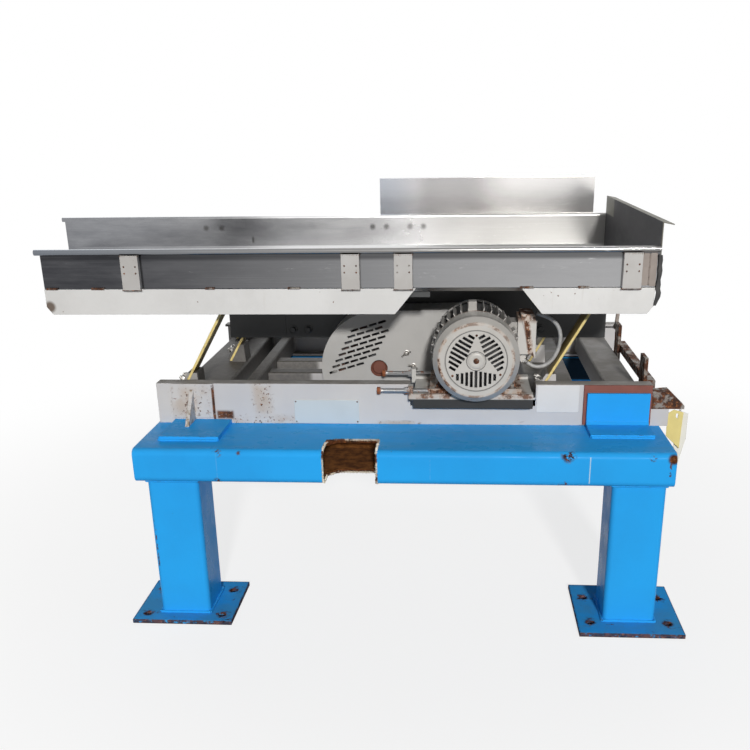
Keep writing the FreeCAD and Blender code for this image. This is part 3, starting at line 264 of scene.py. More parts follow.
# Painted reflection on the splash panel
PANEL_PAINTED_SKY = (0.42, 0.47, 0.55)
PANEL_PAINTED_DULL = (0.36, 0.355, 0.36)
PANEL_PAINTED_HIGHLIGHT = (0.88, 0.865, 0.85)
PANEL_FOOT_PAINTED_HIGHLIGHT = (0.98, 0.945, 0.91)
PANEL_SCUFF = (0.82, 0.82, 0.82)
# Painted shade and painted sunlight on the end plate's inner face
END_INSIDE_PAINTED_SHADE = (0.022, 0.023, 0.027), (0.05, 0.05, 0.054)
END_PAINTED_SUNLIGHT = (0.18, 0.177, 0.151)
END_TOP = (0.17, 0.163, 0.136), (0.115, 0.11, 0.092)
TRIM_SKIRT = (0.63, 0.625, 0.615), (0.55, 0.545, 0.535)
TRIM_RIB_PARTLY_PAINTED_REFLECTION = (0.44, 0.43, 0.42), (0.37, 0.355, 0.34)
TRIM_RUN = (0.4, 0.36, 0.31)
TRIM_TORN = (0.13, 0.1, 0.08)
TRIM_PIT = (0.16, 0.1, 0.07)
PAINT_STAIN = (0.42, 0.2, 0.07)
# Painted shade in recesses and under overhangs
PAINTED_SHADE_DARK = (0.018, 0.018, 0.019), (0.01, 0.01, 0.0095)
# Fibreglass faces: resin colour, partly painted shade
RESIN_AND_PAINTED_SHADE = (0.2, 0.145, 0.045), (0.3, 0.22, 0.08)
GLASS = (0.66, 0.5, 0.16), (0.8, 0.66, 0.3)
FIBRE_DIRT = (0.16, 0.12, 0.07)
SCREW_PLATING = (0.42, 0.42, 0.42)
SCREW_RUST = (0.4, 0.12, 0.04)
RUBBER_DUST = (0.12, 0.11, 0.1)
METAL_STAIN = (0.16, 0.1, 0.06)
CASTING = (0.1, 0.1, 0.105)
CONDUIT_GREY = (0.33, 0.33, 0.33), (0.46, 0.46, 0.45)
WHITE = (1, 1, 1)

# Places of marks; chips on the beam's front are x, z, radius and softness
BEAM_FRONT = -709
BEAM_CHIPS = [(458, 452, 16, 6), (-532, 452, 14, 6), (-466, 546, 7, 4)]
BEAM_CHIPS += [(-529, 546, 13, 6), (468, 546, 20, 8), (700, 540, 9, 4)]
ANCHOR_HOLES = [(x, y, 12.7) for x in (558.7, 787.3) for y in (547.8, 700.2)]
WELD_MARKS = [(x, 495, 1047) for x in (-838, -776, -178, -124, -32, 20)]
MOTOR_AXIS = (210, 0, 775.2)
PAINT_SHEEN = 0.04
END_SHEEN = 0.15


# Finishes
def stand_paint():
    """Blue enamel on the legs, beams and clips, chipped to rust at its edges."""
    made = Shade("stand_paint", 3)
    ragged = made.noise(60, 8, 0.7)
    flecks = made.noise(42, 6, 0.62, shift=5).step(0.725, 0.745)
    hollow = made.inside((-776, -699, 459), (764, -413, 543), 1)
    hollow |= made.inside((-776, 413, 459), (764, 699, 543), 1)
    burnt = made.inside((-226, -712, 449), (-70, -606.5, 553.5), 0.5)
    corner_chip = made.near((756, BEAM_FRONT, 537), 15, 5)
    spots = made.inside((746, None, 486), (752, -700, 536), 2)
    spots |= made.inside((-742, None, 170), (-738, -684, 330), 1)
    for x, z, radius, soft in BEAM_CHIPS:
        spots |= made.near((x, BEAM_FRONT, z), radius, soft)
    chips = (made.corner & ragged.step(0.56, 0.61)) | (spots & ragged.step(0.48, 0.56))
    rusty = chips | flecks | hollow | burnt | corner_chip
    made.tone = made.mix(made.noise(3, 5, 0.6, shift=2).step(0.35, 0.7), BLUE, BLUE_WORN)
    top = made.facing[2].step(0.6, 0.9)
    haze = made.noise(4, 7, 0.65, stretch=(0.5, 3, 1), shift=4).step(0.45, 0.7, 0, 0.4)
    made.over(top & haze, BLUE_CHALK)
    # Painted shade: near-black patches on the rear beam's top and inner face, under the trough.
    inner_side = made.facing[1].step(-0.6, -0.9) & made.z.step(0.44, 0.45)
    painted_shade = (top | inner_side) & made.y.step(0.39, 0.4) & made.y.step(0.6, 0.5)
    painted_shade &= made.noise(5, 6, 0.6, shift=15).step(0.15, 0.4, 0.6, 0.95)
    made.over(painted_shade, BLUE_PAINTED_SHADE)
    scratches = made.inside((526.5, None, 462), (529.5, -706, 541), 1)
    scratches |= made.inside((-533, None, 468), (-530.5, -706, 548), 1) & 0.12
    scratches |= made.inside((80.5, None, 470), (82.5, -706, 530), 0.8) & 0.12
    made.over(scratches & ragged.step(0.35, 0.5), BLUE_SCRATCH)
    bare = made.inside((-672, -720, 566), (-650, None, None), 1)
    made.over(bare, made.mix(ragged.step(0.5, 0.62), GREY_PAINT, BARE_BROWN))
    scale = made.mix(made.noise(34, 7, 0.7, shift=12).step(0.35, 0.65), *RUST_SCALE)
    made.over(rusty, made.mix(hollow, made.rust(), scale))
    made.bump(made.noise(220, 3), 0.25, 0.4)
    made.bump(made.noise(5, 3, 0.5, shift=6), 2, 0.25)
    made.bump(rusty, 0.5, 0.7)
    made.put("Specular IOR Level", PAINT_SHEEN)
    shine = made.noise(14, 5, shift=1).step(0.3, 0.7, 0.24, 0.4)
    return made.done(made.blend(rusty, shine, 0.88))


def foot_paint():
    """The floor plates: worn blue with rusted edges and rust round their anchor holes."""
    made = Shade("foot_paint", 9)
    ragged = made.noise(60, 8, 0.7)
    sides = made.facing[2].calc("ABSOLUTE").step(0.3, 0.6, 0.9, 0)
    rusty = (made.corner & ragged.step(0.42, 0.5)) | (sides & ragged.step(0.36, 0.46))
    rusty |= made.noise(26, 9, 0.72, shift=9).step(0.615, 0.66)
    folded = made.folded()
    rim = ragged.step(0.4, 0.5)
    stain = ragged.step(0.54, 0.6)
    for hole in ANCHOR_HOLES:
        rusty |= made.near(hole, 16, 6, folded) & rim
        rusty |= made.near(hole, 25, 9, folded) & stain
    made.tone = made.mix(made.noise(6, 7, 0.65, shift=2).step(0.35, 0.65), BLUE_WORN, BLUE_CHALK)
    made.over(rusty, made.rust())
    made.bump(made.noise(220, 3), 0.25, 0.5)
    made.bump(rusty, 0.8, 0.8)
    made.put("Specular IOR Level", PAINT_SHEEN)
    return made.done(made.blend(rusty, 0.68, 0.9))


def base_paint():
    """Chalky grey paint with dust on top faces, rust stains and spatter, and painted shade inside the base.
    """
    made = Shade("base_paint", 2.5)
    ragged = made.noise(70, 8, 0.7)
    zones = made.inside((-470, None, 585), (-415, -440, 690), 16)
    zones |= made.inside((-545, None, 540), (-330, -440, 575), 14)
    zones |= made.inside((-722, None, 575), (-610, -440, 665), 25)
    zones |= made.inside((-90, None, 548), (30, -440, 562), 5)
    scab = made.inside((-588, None, 566), (-536, -440, 592), 5)
    scab |= made.inside((-599, None, 560), (-592, -440, 676), 1.5)
    low = made.noise(30, 6, 0.65, stretch=(0.5, 1, 2)).step(0.6, 0.68) & made.z.step(0.568, 0.552)
    rusty = (made.corner & ragged.step(0.58, 0.64)) | (scab & ragged.step(0.36, 0.46)) | low
    rusty |= zones & made.noise(120, 5, 0.6, shift=6).step(0.585, 0.625)
    made.tone = made.mix(made.noise(5, 6, 0.6).step(0.3, 0.7), GREY_PAINT, GREY_COOL)
    made.over(made.facing[2].step(0.5, 0.8) & made.noise(12, 6).step(0.2, 0.6), GREY_DUST)
    # Painted shade inside the base between its rails: weaker on faces that look forward, full at the left
    # end, fading to the right.
    within = made.y.step(-0.44, -0.38) & made.y.step(0.46, 0.4)
    left_end = made.x.step(-0.36, -0.33, 0.95, 0)
    shade_inside = within & (made.facing[1].step(-0.9, -0.5, 0.3, 1) | left_end)
    shade_inside &= made.x.step(-0.2, 0.35, 0.92, 0.55)
    made.over(shade_inside, made.mix(ragged.step(0.35, 0.65), *BASE_PAINTED_SHADE))
    made.over(zones & made.noise(18, 6, 0.6, shift=8).step(0.35, 0.65, 0, 0.45), GREY_STAINED)
    made.over(rusty, made.rust())
    made.bump(made.noise(300, 3), 0.2, 0.4)
    made.bump(rusty, 0.4, 0.6)
    return made.done(made.blend(rusty, 0.62, 0.9))


def rusted(name, share=0.35, steel=BARE_STEEL):
    """Bare steel mostly gone to rust; a larger share leaves more of it clear."""
    made = Shade(name, 2)
    clear = made.noise(30, 7, 0.65, shift=4).step(0.62 - share * 0.4, 0.72 - share * 0.4)
    made.tone = made.mix(clear, made.rust(), steel)
    made.bump(made.noise(150, 6, 0.7), 1.2, 0.8)
    return made.done(made.blend(clear, 0.92, 0.5), made.blend(clear, 0, 0.6))


def trough_steel():
    """Worn stainless sheet smeared along X inside, dull on the front wall, darker to the left by painted
    reflection.
    """
    made = Shade("trough_steel", 1.5, metallic=1)
    smears = made.noise(5, 8, 0.68, stretch=(0.5, 1, 2.2), shift=2)
    grain = made.noise(26, 6, 0.75, stretch=(0.12, 2, 10))
    scuffs = made.noise(16, 10, 0.8, stretch=(0.5, 1, 2), shift=7).step(0.58, 0.7)
    # Lit and dim copies of the sheet mixed by the smears; the ramp along X is a painted reflection, darker
    # to the left.
    along = made.x.step(-1.35, 0)
    made.tone = made.mix(smears.step(0.3, 0.7), made.mix(along, *TROUGH_DIM), made.mix(along, *TROUGH_LIT))
    # Painted reflection: brighter across the middle of the rear wall.
    back = made.y.step(0.47, 0.485)
    made.over(back & made.x.step(-0.75, -0.45) & made.x.step(-0.12, 0.15, 0.75, 0), TROUGH_BACK_PAINTED_REFLECTION)
    # Painted shade on the rear wall towards the closed end.
    made.over(back & made.x.step(-0.05, 0.3, 0, 0.85), TROUGH_PAINTED_SHADE_NEAR_END)
    wall = made.y.step(-0.4925, -0.4945)
    # Front wall: painted reflection ramp, darker to the left, with smears.
    front = made.mix(made.x.step(-1, 0.6), *TROUGH_FRONT_PAINTED_REFLECTION)
    front = made.mix(smears.step(0.35, 0.72, 0, 0.3), front, TROUGH_FRONT_SMEAR)
    # Painted shadow of the rim along the top of the front wall.
    front = made.mix(made.z.step(1.052, 1.064) & 0.65, front, TROUGH_PAINTED_RIM_SHADOW)
    rim = made.z.step(1.0735, 1.0755)
    made.over(wall & rim.step(1, 0), front)
    # The rim takes the same painted reflection ramp.
    made.over(wall & rim, made.mix(along, *TROUGH_RIM_PAINTED_REFLECTION))
    made.over(scuffs & made.x.step(-0.4, 0.5, 0.03, 0.55), TROUGH_SCUFF)
    made.over(grain.step(0.45, 0.75, 0, 0.05), TROUGH_GRAIN)
    marks = made.inside((-657, 480, 990), (-649, None, 1011), 3)
    for place in WELD_MARKS:
        marks |= made.near(place, 10, 7)
    made.over(marks & smears.step(0.2, 0.6, 0.4, 0.9), TROUGH_MARK)
    made.bump(grain, 0.08, 0.35)
    made.bump(made.noise(3, 3, 0.5, shift=5), 3, 0.35)
    shine = made.blend(back & made.x.step(-0.3, 0.28), smears.step(0.3, 0.7, 0.15, 0.23), 0.36)
    return made.done(shine | (scuffs & 0.3))


def panel_steel():
    """The splash panel: brighter sheet with scuffs along its top; painted reflection makes it bluer to the
    left.
    """
    made = Shade("panel_steel", 1.5, metallic=1)
    smears = made.noise(2.2, 6, 0.6, stretch=(0.7, 1, 2), shift=6)
    scuffs = made.noise(15, 10, 0.8, stretch=(0.6, 1, 2), shift=3).step(0.62, 0.74)
    made.tone = made.mix(smears.step(0.3, 0.7), *PANEL)
    # Painted reflection: bluer to the left, duller in the middle, brighter to the right and at the foot.
    made.over(made.x.step(-0.15, 0.08, 0.6, 0), PANEL_PAINTED_SKY)
    made.over(made.x.step(-0.03, 0.05) & made.x.step(0.18, 0.3, 0.55, 0), PANEL_PAINTED_DULL)
    made.over(made.x.step(0.22, 0.38, 0, 0.85), PANEL_PAINTED_HIGHLIGHT)
    made.over(made.z.step(1.06, 1.13, 0.8, 0) & made.x.step(0.05, 0.2), PANEL_FOOT_PAINTED_HIGHLIGHT)
    made.over(scuffs & made.z.step(1.1, 1.21, 0.15, 0.6), PANEL_SCUFF)
    made.bump(made.noise(2.6, 3, 0.5, shift=5), 3, 0.3)
    made.bump(made.noise(30, 6, 0.7, stretch=(0.2, 1, 4)), 0.1, 0.3)
    return made.done(smears.step(0.3, 0.7, 0.15, 0.22))


def end_steel():
    """The closed end's plate: pale along its folded top, dark and dull inside with painted shade."""
    made = Shade("end_steel", 1.5, metallic=0.35)
    smears = made.noise(7, 8, 0.68, stretch=(1, 0.6, 2), shift=1)
    cloud = smears.step(0.35, 0.7)
    high = made.z.step(1.09, 1.094) & made.y.step(0.3, 0.34)
    made.tone = made.mix(cloud, *END_TOP)
    # Painted shade on the inner face, with painted sunlight high near its rear edge.
    made.over(made.facing[0].step(-0.5, -0.8), made.mix(high, made.mix(cloud, *END_INSIDE_PAINTED_SHADE), END_PAINTED_SUNLIGHT))
    made.bump(made.noise(3, 3, 0.5), 3, 0.3)
    made.put("Specular IOR Level", END_SHEEN)
    return made.done(smears.step(0.3, 0.7, 0.45, 0.6))


def trim_steel():
    """Dull pale sheet, with stains running down from its welds; the ribs above are darker, partly painted
    reflection.
    """
    made = Shade("trim_steel", 1.2, metallic=0.35)
    runs = made.noise(22, 6, 0.65, stretch=(2.2, 2.2, 0.25))
    cloud = made.noise(6, 6, 0.6, shift=3)
    patches = cloud.step(0.3, 0.7)
    made.tone = made.mix(patches, *TRIM_SKIRT)
    # The ribs above the skirts are darker, partly a painted dark reflection.
    made.over(made.z.step(0.974, 0.977), made.mix(patches, *TRIM_RIB_PARTLY_PAINTED_REFLECTION))
    made.over(runs.step(0.58, 0.78, 0, 0.25), TRIM_RUN)
    made.over(made.near((-1052, -497, 924), 16, 6) & cloud.step(0.2, 0.4), TRIM_TORN)
    made.over(made.noise(95, 3, 0.5, shift=4).step(0.735, 0.76), TRIM_PIT)
    made.bump(made.noise(2.5, 3, 0.5), 4, 0.3)
    return made.done(cloud.step(0.3, 0.7, 0.42, 0.55))


def plain_paint(name, colour, rough, grime, chips, rust_zone=None, grip=0.5, shade_zone=None):
    """Shop paint with grime and scuffs. Two zones say where rust has a grip and where painted shade lies
    thick.
    """
    made = Shade(name, 2)
    cloud = made.noise(11, 7, 0.65)
    darker = [part * 0.62 for part in colour]
    lighter = [min(1, part * 1.35 + 0.02) for part in colour]
    made.tone = made.mix(cloud.step(0.35, 0.75, 0, grime), colour, darker)
    made.over(made.noise(30, 9, 0.75, shift=6).step(0.66, 0.72) & 0.6, lighter)
    ragged = made.noise(80, 8, 0.7, shift=2)
    rusty = made.corner & ragged.step(0.68 - 0.18 * chips, 0.73 - 0.18 * chips)
    if rust_zone is not None:
        worn = rust_zone(made)
        streaks = made.noise(28, 7, 0.7, shift=8)
        rusty |= worn & streaks.step(grip, grip + 0.08)
        made.over(worn & streaks.step(grip - 0.16, grip + 0.1, 0, 0.55), PAINT_STAIN)
    # Painted shade, near black, over the zone given.
    if shade_zone is not None:
        made.over(shade_zone(made), made.mix(cloud.step(0.3, 0.7), *PAINTED_SHADE_DARK))
    made.over(rusty, made.rust())
    made.bump(made.noise(260, 3), 0.2, 0.4)
    made.bump(rusty, 0.4, 0.6)
    return made.done(made.blend(rusty, rough, 0.9))


def fibreglass():
    """Resin-bound strip: pale glass shows on its cut edges, browner resin on its faces, partly painted
    shade.
    """
    made = Shade("fibreglass", 0.8)
    edge = made.facing[1].calc("ABSOLUTE").step(0.5, 0.8)
    strands = made.noise(30, 6, 0.6, stretch=(8, 12, 0.4))
    share = strands.step(0.3, 0.7)
    # The broad faces are browner resin darkened partly as painted shade; the cut edges show paler glass.
    made.tone = made.mix(edge, made.mix(share, *RESIN_AND_PAINTED_SHADE), made.mix(share, *GLASS))
    made.over(made.noise(25, 6, 0.65, shift=5).step(0.55, 0.75, 0, 0.6), FIBRE_DIRT)
    made.bump(strands, 0.3, 0.5)
    return made.done(0.5)


def from_motor(made):
    """Distance from the motor's axis, in metres."""
    flat = made.add("VectorMath", {0: made.place, 1: (1, 0, 1)}, operation="MULTIPLY")
    return made.distance(flat[0], MOTOR_AXIS)


def frame_rust(made):
    """On the motor's feet and down the sides that meet them."""
    return made.z.step(0.7, 0.672)


def fin_gaps(made):
    """Painted shade at the foot of the motor's fins."""
    return from_motor(made).step(0.1175, 0.1205, 0.95, 0) & made.y.step(-0.445, -0.44)


def cowl_rust(made):
    """Round the edge of the cowl's nose, at its foot and at its seam."""
    out = from_motor(made)
    edge = out.step(0.102, 0.105) & out.step(0.114, 0.11) & made.y.step(-0.524, -0.53)
    left = made.x.step(0.11, 0.16, 1, 0.55)
    low = made.z.step(0.664, 0.652) & 0.8
    seam = made.y.step(-0.456, -0.45) & 0.9
    return (edge & left) | low | seam


def cowl_grooves(made):
    """Painted shade in the rings pressed into the nose, and a film of it on the shoulder."""
    out = from_motor(made)
    face = made.y.step(-0.546, -0.549)
    outer = out.step(0.0865, 0.0885) & out.step(0.0915, 0.0895)
    inner = out.step(0.026, 0.0275) & out.step(0.03, 0.0285)
    shoulder = out.step(0.11, 0.114) & made.y.step(-0.515, -0.505, 0.3, 0)
    return (face & (outer | inner) & 0.7) | shoulder


def box_rust(made):
    """Down the lid's seam and over the top of the terminal box."""
    top = made.z.step(0.85, 0.872) & 0.9
    across = made.x.calc("ADD", made.z & 0.16)
    return top | (across.step(0.487, 0.494) & across.step(0.511, 0.503))


def platform_rust(made):
    """Along the platform's front edge and round the motor's feet."""
    edge = made.y.step(-0.48, -0.484) & made.z.step(0.64, 0.646)
    feet = made.inside((60, -484, 646), (150, None, None), 14)
    feet |= made.inside((270, -484, 646), (360, None, None), 14)
    return (edge & 0.85) | feet


def platform_front(made):
    """Painted shade on the sheltered front of the platform, below its top plate."""
    return made.y.step(-0.48, -0.484) & made.z.step(0.603, 0.606) & made.z.step(0.643, 0.64)


def screw_steel():
    """Plated screws with rusted heads."""
    made = Shade("screw_steel", 0.8)
    waves = {"Vector": made.place, "Scale": 150}
    ridges = made.add("TexWave", waves, wave_type="BANDS", bands_direction="X")
    made.bump(Value(made, ridges["Fac"]) & made.x.step(-0.07, -0.065), 0.7, 0.8)
    rusty = made.x.step(-0.07, -0.078) | made.noise(60, 6, 0.65).step(0.56, 0.66)
    made.tone = made.mix(rusty, SCREW_PLATING, made.mix(0.5, made.rust(), SCREW_RUST))
    return made.done(made.blend(rusty, 0.4, 0.85), made.blend(rusty, 0.9, 0))


def rubber(name, colour):
    """Dusty rubber or plastic."""
    made = Shade(name, 0.8)
    dust = made.noise(40, 7, 0.65).step(0.45, 0.75, 0, 0.35)
    made.tone = made.mix(dust, colour, RUBBER_DUST)
    made.bump(made.noise(180, 4), 0.4, 0.6)
    return made.done(dust.step(0, 0.35, 0.6, 0.8))


def metal(name, colour, rough, stain):
    """Turned or plated steel with some staining."""
    made = Shade(name, 0.8, metallic=1)
    cloud = made.noise(50, 6, 0.6)
    made.tone = made.mix(cloud.step(0.4, 0.75, 0, stain), colour, METAL_STAIN)
    made.bump(made.noise(400, 2), 0.1, 0.4)
    return made.done(cloud.step(0.3, 0.7, rough - 0.06, rough + 0.1))


def cast_iron():
    """Sand-cast iron, painted thinly."""
    made = Shade("castings", 2)
    cloud = made.noise(20, 6, 0.6)
    made.tone = made.mix(cloud.step(0.45, 0.7, 0, 0.7), CASTING, RUST_BROWN)
    made.bump(made.noise(230, 5, 0.7), 0.6, 0.7)
    return made.done(cloud.step(0.3, 0.7, 0.55, 0.75))


STAND = stand_paint()
FEET = foot_paint()
BASE = base_paint()
RUSTED = rusted("rusted_steel")
SLAG = rusted("slag", 0.55, (0.62, 0.57, 0.48))
TROUGH = trough_steel()
SHEET = panel_steel()
END = end_steel()
TRIM = trim_steel()
FIBRE = fibreglass()
PRIMER = plain_paint("primer", (0.23, 0.075, 0.055), 0.75, 0.5, 0.8)
SPINE = plain_paint("spine_paint", (0.045, 0.047, 0.048), 0.45, 0.3, 0.2)
GUARD = plain_paint("guard_paint", (0.44, 0.43, 0.415), 0.42, 0.22, 0.1)
MOTOR = plain_paint("motor_paint", (0.4, 0.385, 0.365), 0.42, 0.5, 0.4, frame_rust, 0.5, fin_gaps)
COWL = plain_paint("cowl_paint", (0.54, 0.52, 0.49), 0.4, 0.3, 0.35, cowl_rust, 0.5, cowl_grooves)
TERMINAL = plain_paint("terminal_paint", (0.6, 0.575, 0.54), 0.45, 0.2, 0.3, box_rust, 0.4)
PLATFORM_GREY = (0.55, 0.54, 0.515)
PLATFORM = plain_paint("platform_paint", PLATFORM_GREY, 0.6, 0.4, 0.6, platform_rust, 0.5, platform_front)
HUB = plain_paint("hub_paint", (0.17, 0.055, 0.035), 0.7, 0.5, 0.8)
STAINED = plain_paint("stained_steel", (0.34, 0.29, 0.26), 0.5, 0.6, 1)
PLATE = plain_paint("plate_face", (0.55, 0.6, 0.62), 0.35, 0.12, 0)
LABEL = plain_paint("label_face", (0.7, 0.69, 0.68), 0.4, 0.15, 0)
PAPER_YELLOW = plain_paint("yellow_card", (0.78, 0.66, 0.26), 0.8, 0.3, 0)
PAPER_WHITE = plain_paint("white_card", (0.8, 0.79, 0.72), 0.8, 0.15, 0)
SCREWS = screw_steel()
RUBBER = rubber("rubber", (0.022, 0.022, 0.023))
MACHINED = metal("machined_steel", (0.33, 0.32, 0.305), 0.48, 0.6)
PLATED = metal("plated_steel", (0.42, 0.41, 0.39), 0.42, 0.4)
CAST = cast_iron()
FAN = rubber("fan_plastic", (0.03, 0.03, 0.032))

SLOT_LOOKS = {
    "stand_paint": STAND,
    "primer": PRIMER,
    "base_paint": BASE,
    "rusted_steel": RUSTED,
    "fibreglass": FIBRE,
    "trough_steel": TROUGH,
    "trough_trim": TRIM,
    "spine_paint": SPINE,
    "machined_steel": MACHINED,
    "castings": CAST,
    "rubber": RUBBER,
    "guard_paint": GUARD,
    "motor_paint": MOTOR,
    "cowl_paint": COWL,
    "fan_plastic": FAN,
    "conduit_grey": RUBBER,
}
NODE_LOOKS = {
    "trough_rear_panel": SHEET,
    "trough_end_plate": END,
    "eccentric_shaft": HUB,
    "trough_bars": SPINE,
    "slat_brackets_upper": SPINE,
    "slat_clamps_upper": SPINE,
    "terminal_box": TERMINAL,
    "motor_platform": PLATFORM,
    "tension_screws": SCREWS,
    "end_bracket": RUSTED,
}
for part in frame["record"]["subparts"]:
    name = part["node"]
    look = NODE_LOOKS.get(name, SLOT_LOOKS[part["material_slot"]])
    if name.startswith("foot_plate"):
        look = FEET
    data = nodes[name].data
    data.materials.clear()
    data.materials.append(look)

# Mesh building
SHARP_ANGLE = math.radians(40)
HEXAGON_LEVELS = ((0, 1, 1), (0.82, 1, 1), (1, 0.9, 0.837))
DOME_PROFILE = ((1, 0), (0.96, 0.5), (0.72, 0.88), (0.3, 1))


def show(name, data):
    """An object in the scene."""
    made = bpy.data.objects.new(name, data)
    bpy.context.scene.collection.objects.link(made)
    return made


def basis(axis):
    """Three square directions, the last one along an axis."""
    axis = axis.normalized()
    side = UP.cross(axis) if abs(axis.z) < 0.9 else RIGHT.cross(axis)
    side.normalize()
    return side, axis.cross(side), axis


def circle(centre, side, other, radius, steps, turn=0):
    """Points round a centre, in the plane of two directions."""
    points = []
    for step in range(steps):
        angle = 2 * math.pi * step / steps + turn
        points.append(centre + side * (radius * math.cos(angle)) + other * (radius * math.sin(angle)))
    return points


class Form:
    """Gathers the points and faces of one piece, in millimetres."""

    def __init__(self):
        self.points = []
        self.faces = []

    def loft(self, rings, looped=False):
        """Skins over rings of equal counts, then caps both ends or joins the last ring to the first."""
        count = len(rings[0])
        starts = [len(self.points) + count * level for level in range(len(rings))]
        for ring in rings:
            self.points.extend(Vector(point) for point in ring)
        for here, there in zip(starts, starts[1:] + starts[:1] if looped else starts[1:]):
            for spot in range(count):
                after = (spot + 1) % count
                self.faces.append((here + spot, here + after, there + after, there + spot))
        if not looped:
            self.faces.append(tuple(range(starts[0] + count - 1, starts[0] - 1, -1)))
            self.faces.append(tuple(range(starts[-1], starts[-1] + count)))

    def lathe(self, origin, axis, profile, steps):
        """Turns (radius, height) pairs round an axis."""
        origin = Vector(origin)
        side, other, axis = basis(axis)
        self.loft([circle(origin + axis * height, side, other, radius, steps) for radius, height in profile])

    def hexagon(self, origin, axis, flats, height, turn=0):
        """A hexagon head or nut with chamfered corners."""
        side, other, axis = basis(axis)
        spokes = circle(Vector(), side, other, flats / 2, 12, turn)
        rings = []
        for rise, flat, corner in HEXAGON_LEVELS:
            shares = (flat, corner / math.cos(math.pi / 6)) * 6
            centre = origin + axis * (height * rise)
            rings.append([centre + out * share for out, share in zip(spokes, shares)])
        self.loft(rings)

    def bolt(self, origin, axis, flats, stub=0):
        """A washer and a hexagon head, or with a stub a nut on a threaded end."""
        origin = Vector(origin)
        axis = axis.normalized()
        thick = flats * 0.12
        head = flats * 0.62
        wide = flats * 0.8
        self.lathe(origin, axis, [(wide, 0), (wide, thick * 0.8), (flats * 0.74, thick)], 20)
        self.hexagon(origin + axis * thick, axis, flats, head, random.uniform(0, math.pi / 3))
        if stub:
            radius = flats * 0.29
            rise = thick + head
            thread = [(radius, rise), (radius, rise + stub * 0.85), (radius * 0.8, rise + stub)]
            self.lathe(origin, axis, thread, 14)

    def bead(self, path, radius, wobble, pitch, spacing=2.5, steps=8):
        """A weld bead along straight runs; wobble is how strong its ripples are."""
        for first, second in zip(path, path[1:]):
            first = Vector(first)
            run = Vector(second) - first
            side, other, axis = basis(run)
            count = max(2, int(run.length / spacing))
            phase = random.uniform(0, 6)
            rings = []
            for level in range(count + 1):
                along = run.length * level / count
                swell = 1 + wobble * math.sin(2 * math.pi * along / pitch + phase)
                swell += wobble * random.uniform(-0.6, 0.6)
                drift = other * (wobble * radius * random.uniform(-0.25, 0.25))
                rings.append(circle(first + axis * along + drift, side, other, radius * swell, steps))
            self.loft(rings)

    def slab(self, outline, front, back, bevel=0):
        """A flat outline in x and z, given thickness along y, with eased edges."""
        points = [Vector((x, 0, z)) for x, z in outline]
        middle = sum(points, Vector()) / len(points)
        share = 1 - bevel / max((point - middle).length for point in points)
        levels = [(front, share), (front + bevel, 1), (back - bevel, 1), (back, share)]
        if not bevel:
            levels = levels[1:3]
        rings = []
        for level, scale in levels:
            rings.append([middle.lerp(point, scale) - FORWARD * level for point in points])
        self.loft(rings)

    def hoop(self, origin, axis, radius, thick, steps, sides=6):
        """A round ring."""
        side, other, axis = basis(axis)
        spokes = circle(Vector(), side, other, 1, steps)
        self.loft([circle(origin + out * radius, out, axis, thick, sides) for out in spokes], looped=True)

    def dome(self, place, axis, radius, height):
        """A low round head, as on a rivet or a pan-head screw."""
        self.lathe(place, axis, [(radius * out, height * up) for out, up in DOME_PROFILE], 16)

    def piece(self, name, body, look):
        """Makes the gathered form into an object with its faces outwards, which rides on a body if given."""
        data = bpy.data.meshes.new(name)
        data.from_pydata([point * MM for point in self.points], [], self.faces)
        data.validate()
        data.materials.append(look)
        work = bmesh.new()
        work.from_mesh(data)
        bmesh.ops.recalc_face_normals(work, faces=work.faces)
        work.to_mesh(data)
        work.free()
        data.shade_smooth()
        data.set_sharp_from_angle(angle=SHARP_ANGLE)
        made = show(name, data)
        if body:
            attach(made, body)
        return made


def rounded(left, right, low, high, radius, steps):
    """A rectangle with round corners, as points."""
    corners = (
        (right - radius, high - radius, 0),
        (left + radius, high - radius, 90),
        (left + radius, low + radius, 180),
        (right - radius, low + radius, 270),
    )
    points = []
    for u, v, start in corners:
        for step in range(steps + 1):
            angle = math.radians(start + 90 * step / steps)
            points.append((u + radius * math.cos(angle), v + radius * math.sin(angle)))
    return points


def extent(node):
    """A node's lowest and highest corners, in millimetres."""
    return [[part / MM for part in corner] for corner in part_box(node)]


# Slats as rounded strips, built in place of the imported ones
SLATS = [f"{row}_{side}" for row in ("front", "middle", "rear") for side in ("left", "right")]
SLAT_STEPS = 28
SLAT_EASE = 1.2
for slat in SLATS:
    low, high = extent(f"slat_{slat}")
    rise = high[2] - low[2]
    wide = high[0] - low[0] - rise * SLOPE
    rings = []
    for step in range(SLAT_STEPS + 1):
        up = rise * step / SLAT_STEPS
        left = low[0] + up * SLOPE
        outline = rounded(left, left + wide, low[1], high[1], SLAT_EASE, 2)
        rings.append([(x, y, low[2] + up) for x, y in outline])
    form = Form()
    form.loft(rings)
    made = form.piece(f"strip_{slat}", None, FIBRE)
    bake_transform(made)
    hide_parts(f"slat_{slat}")

# Conduit loop at the terminal box, as x and z
CONDUIT_ROUTE = [(358, 736), (376, 720.5), (400, 712), (424, 717), (446, 735), (461, 763), (468, 795)]
CONDUIT_ROUTE += [(465, 827), (449, 853), (423, 870), (393, 878)]
CONDUIT_DEPTH = -375
CONDUIT_SIZE = 12


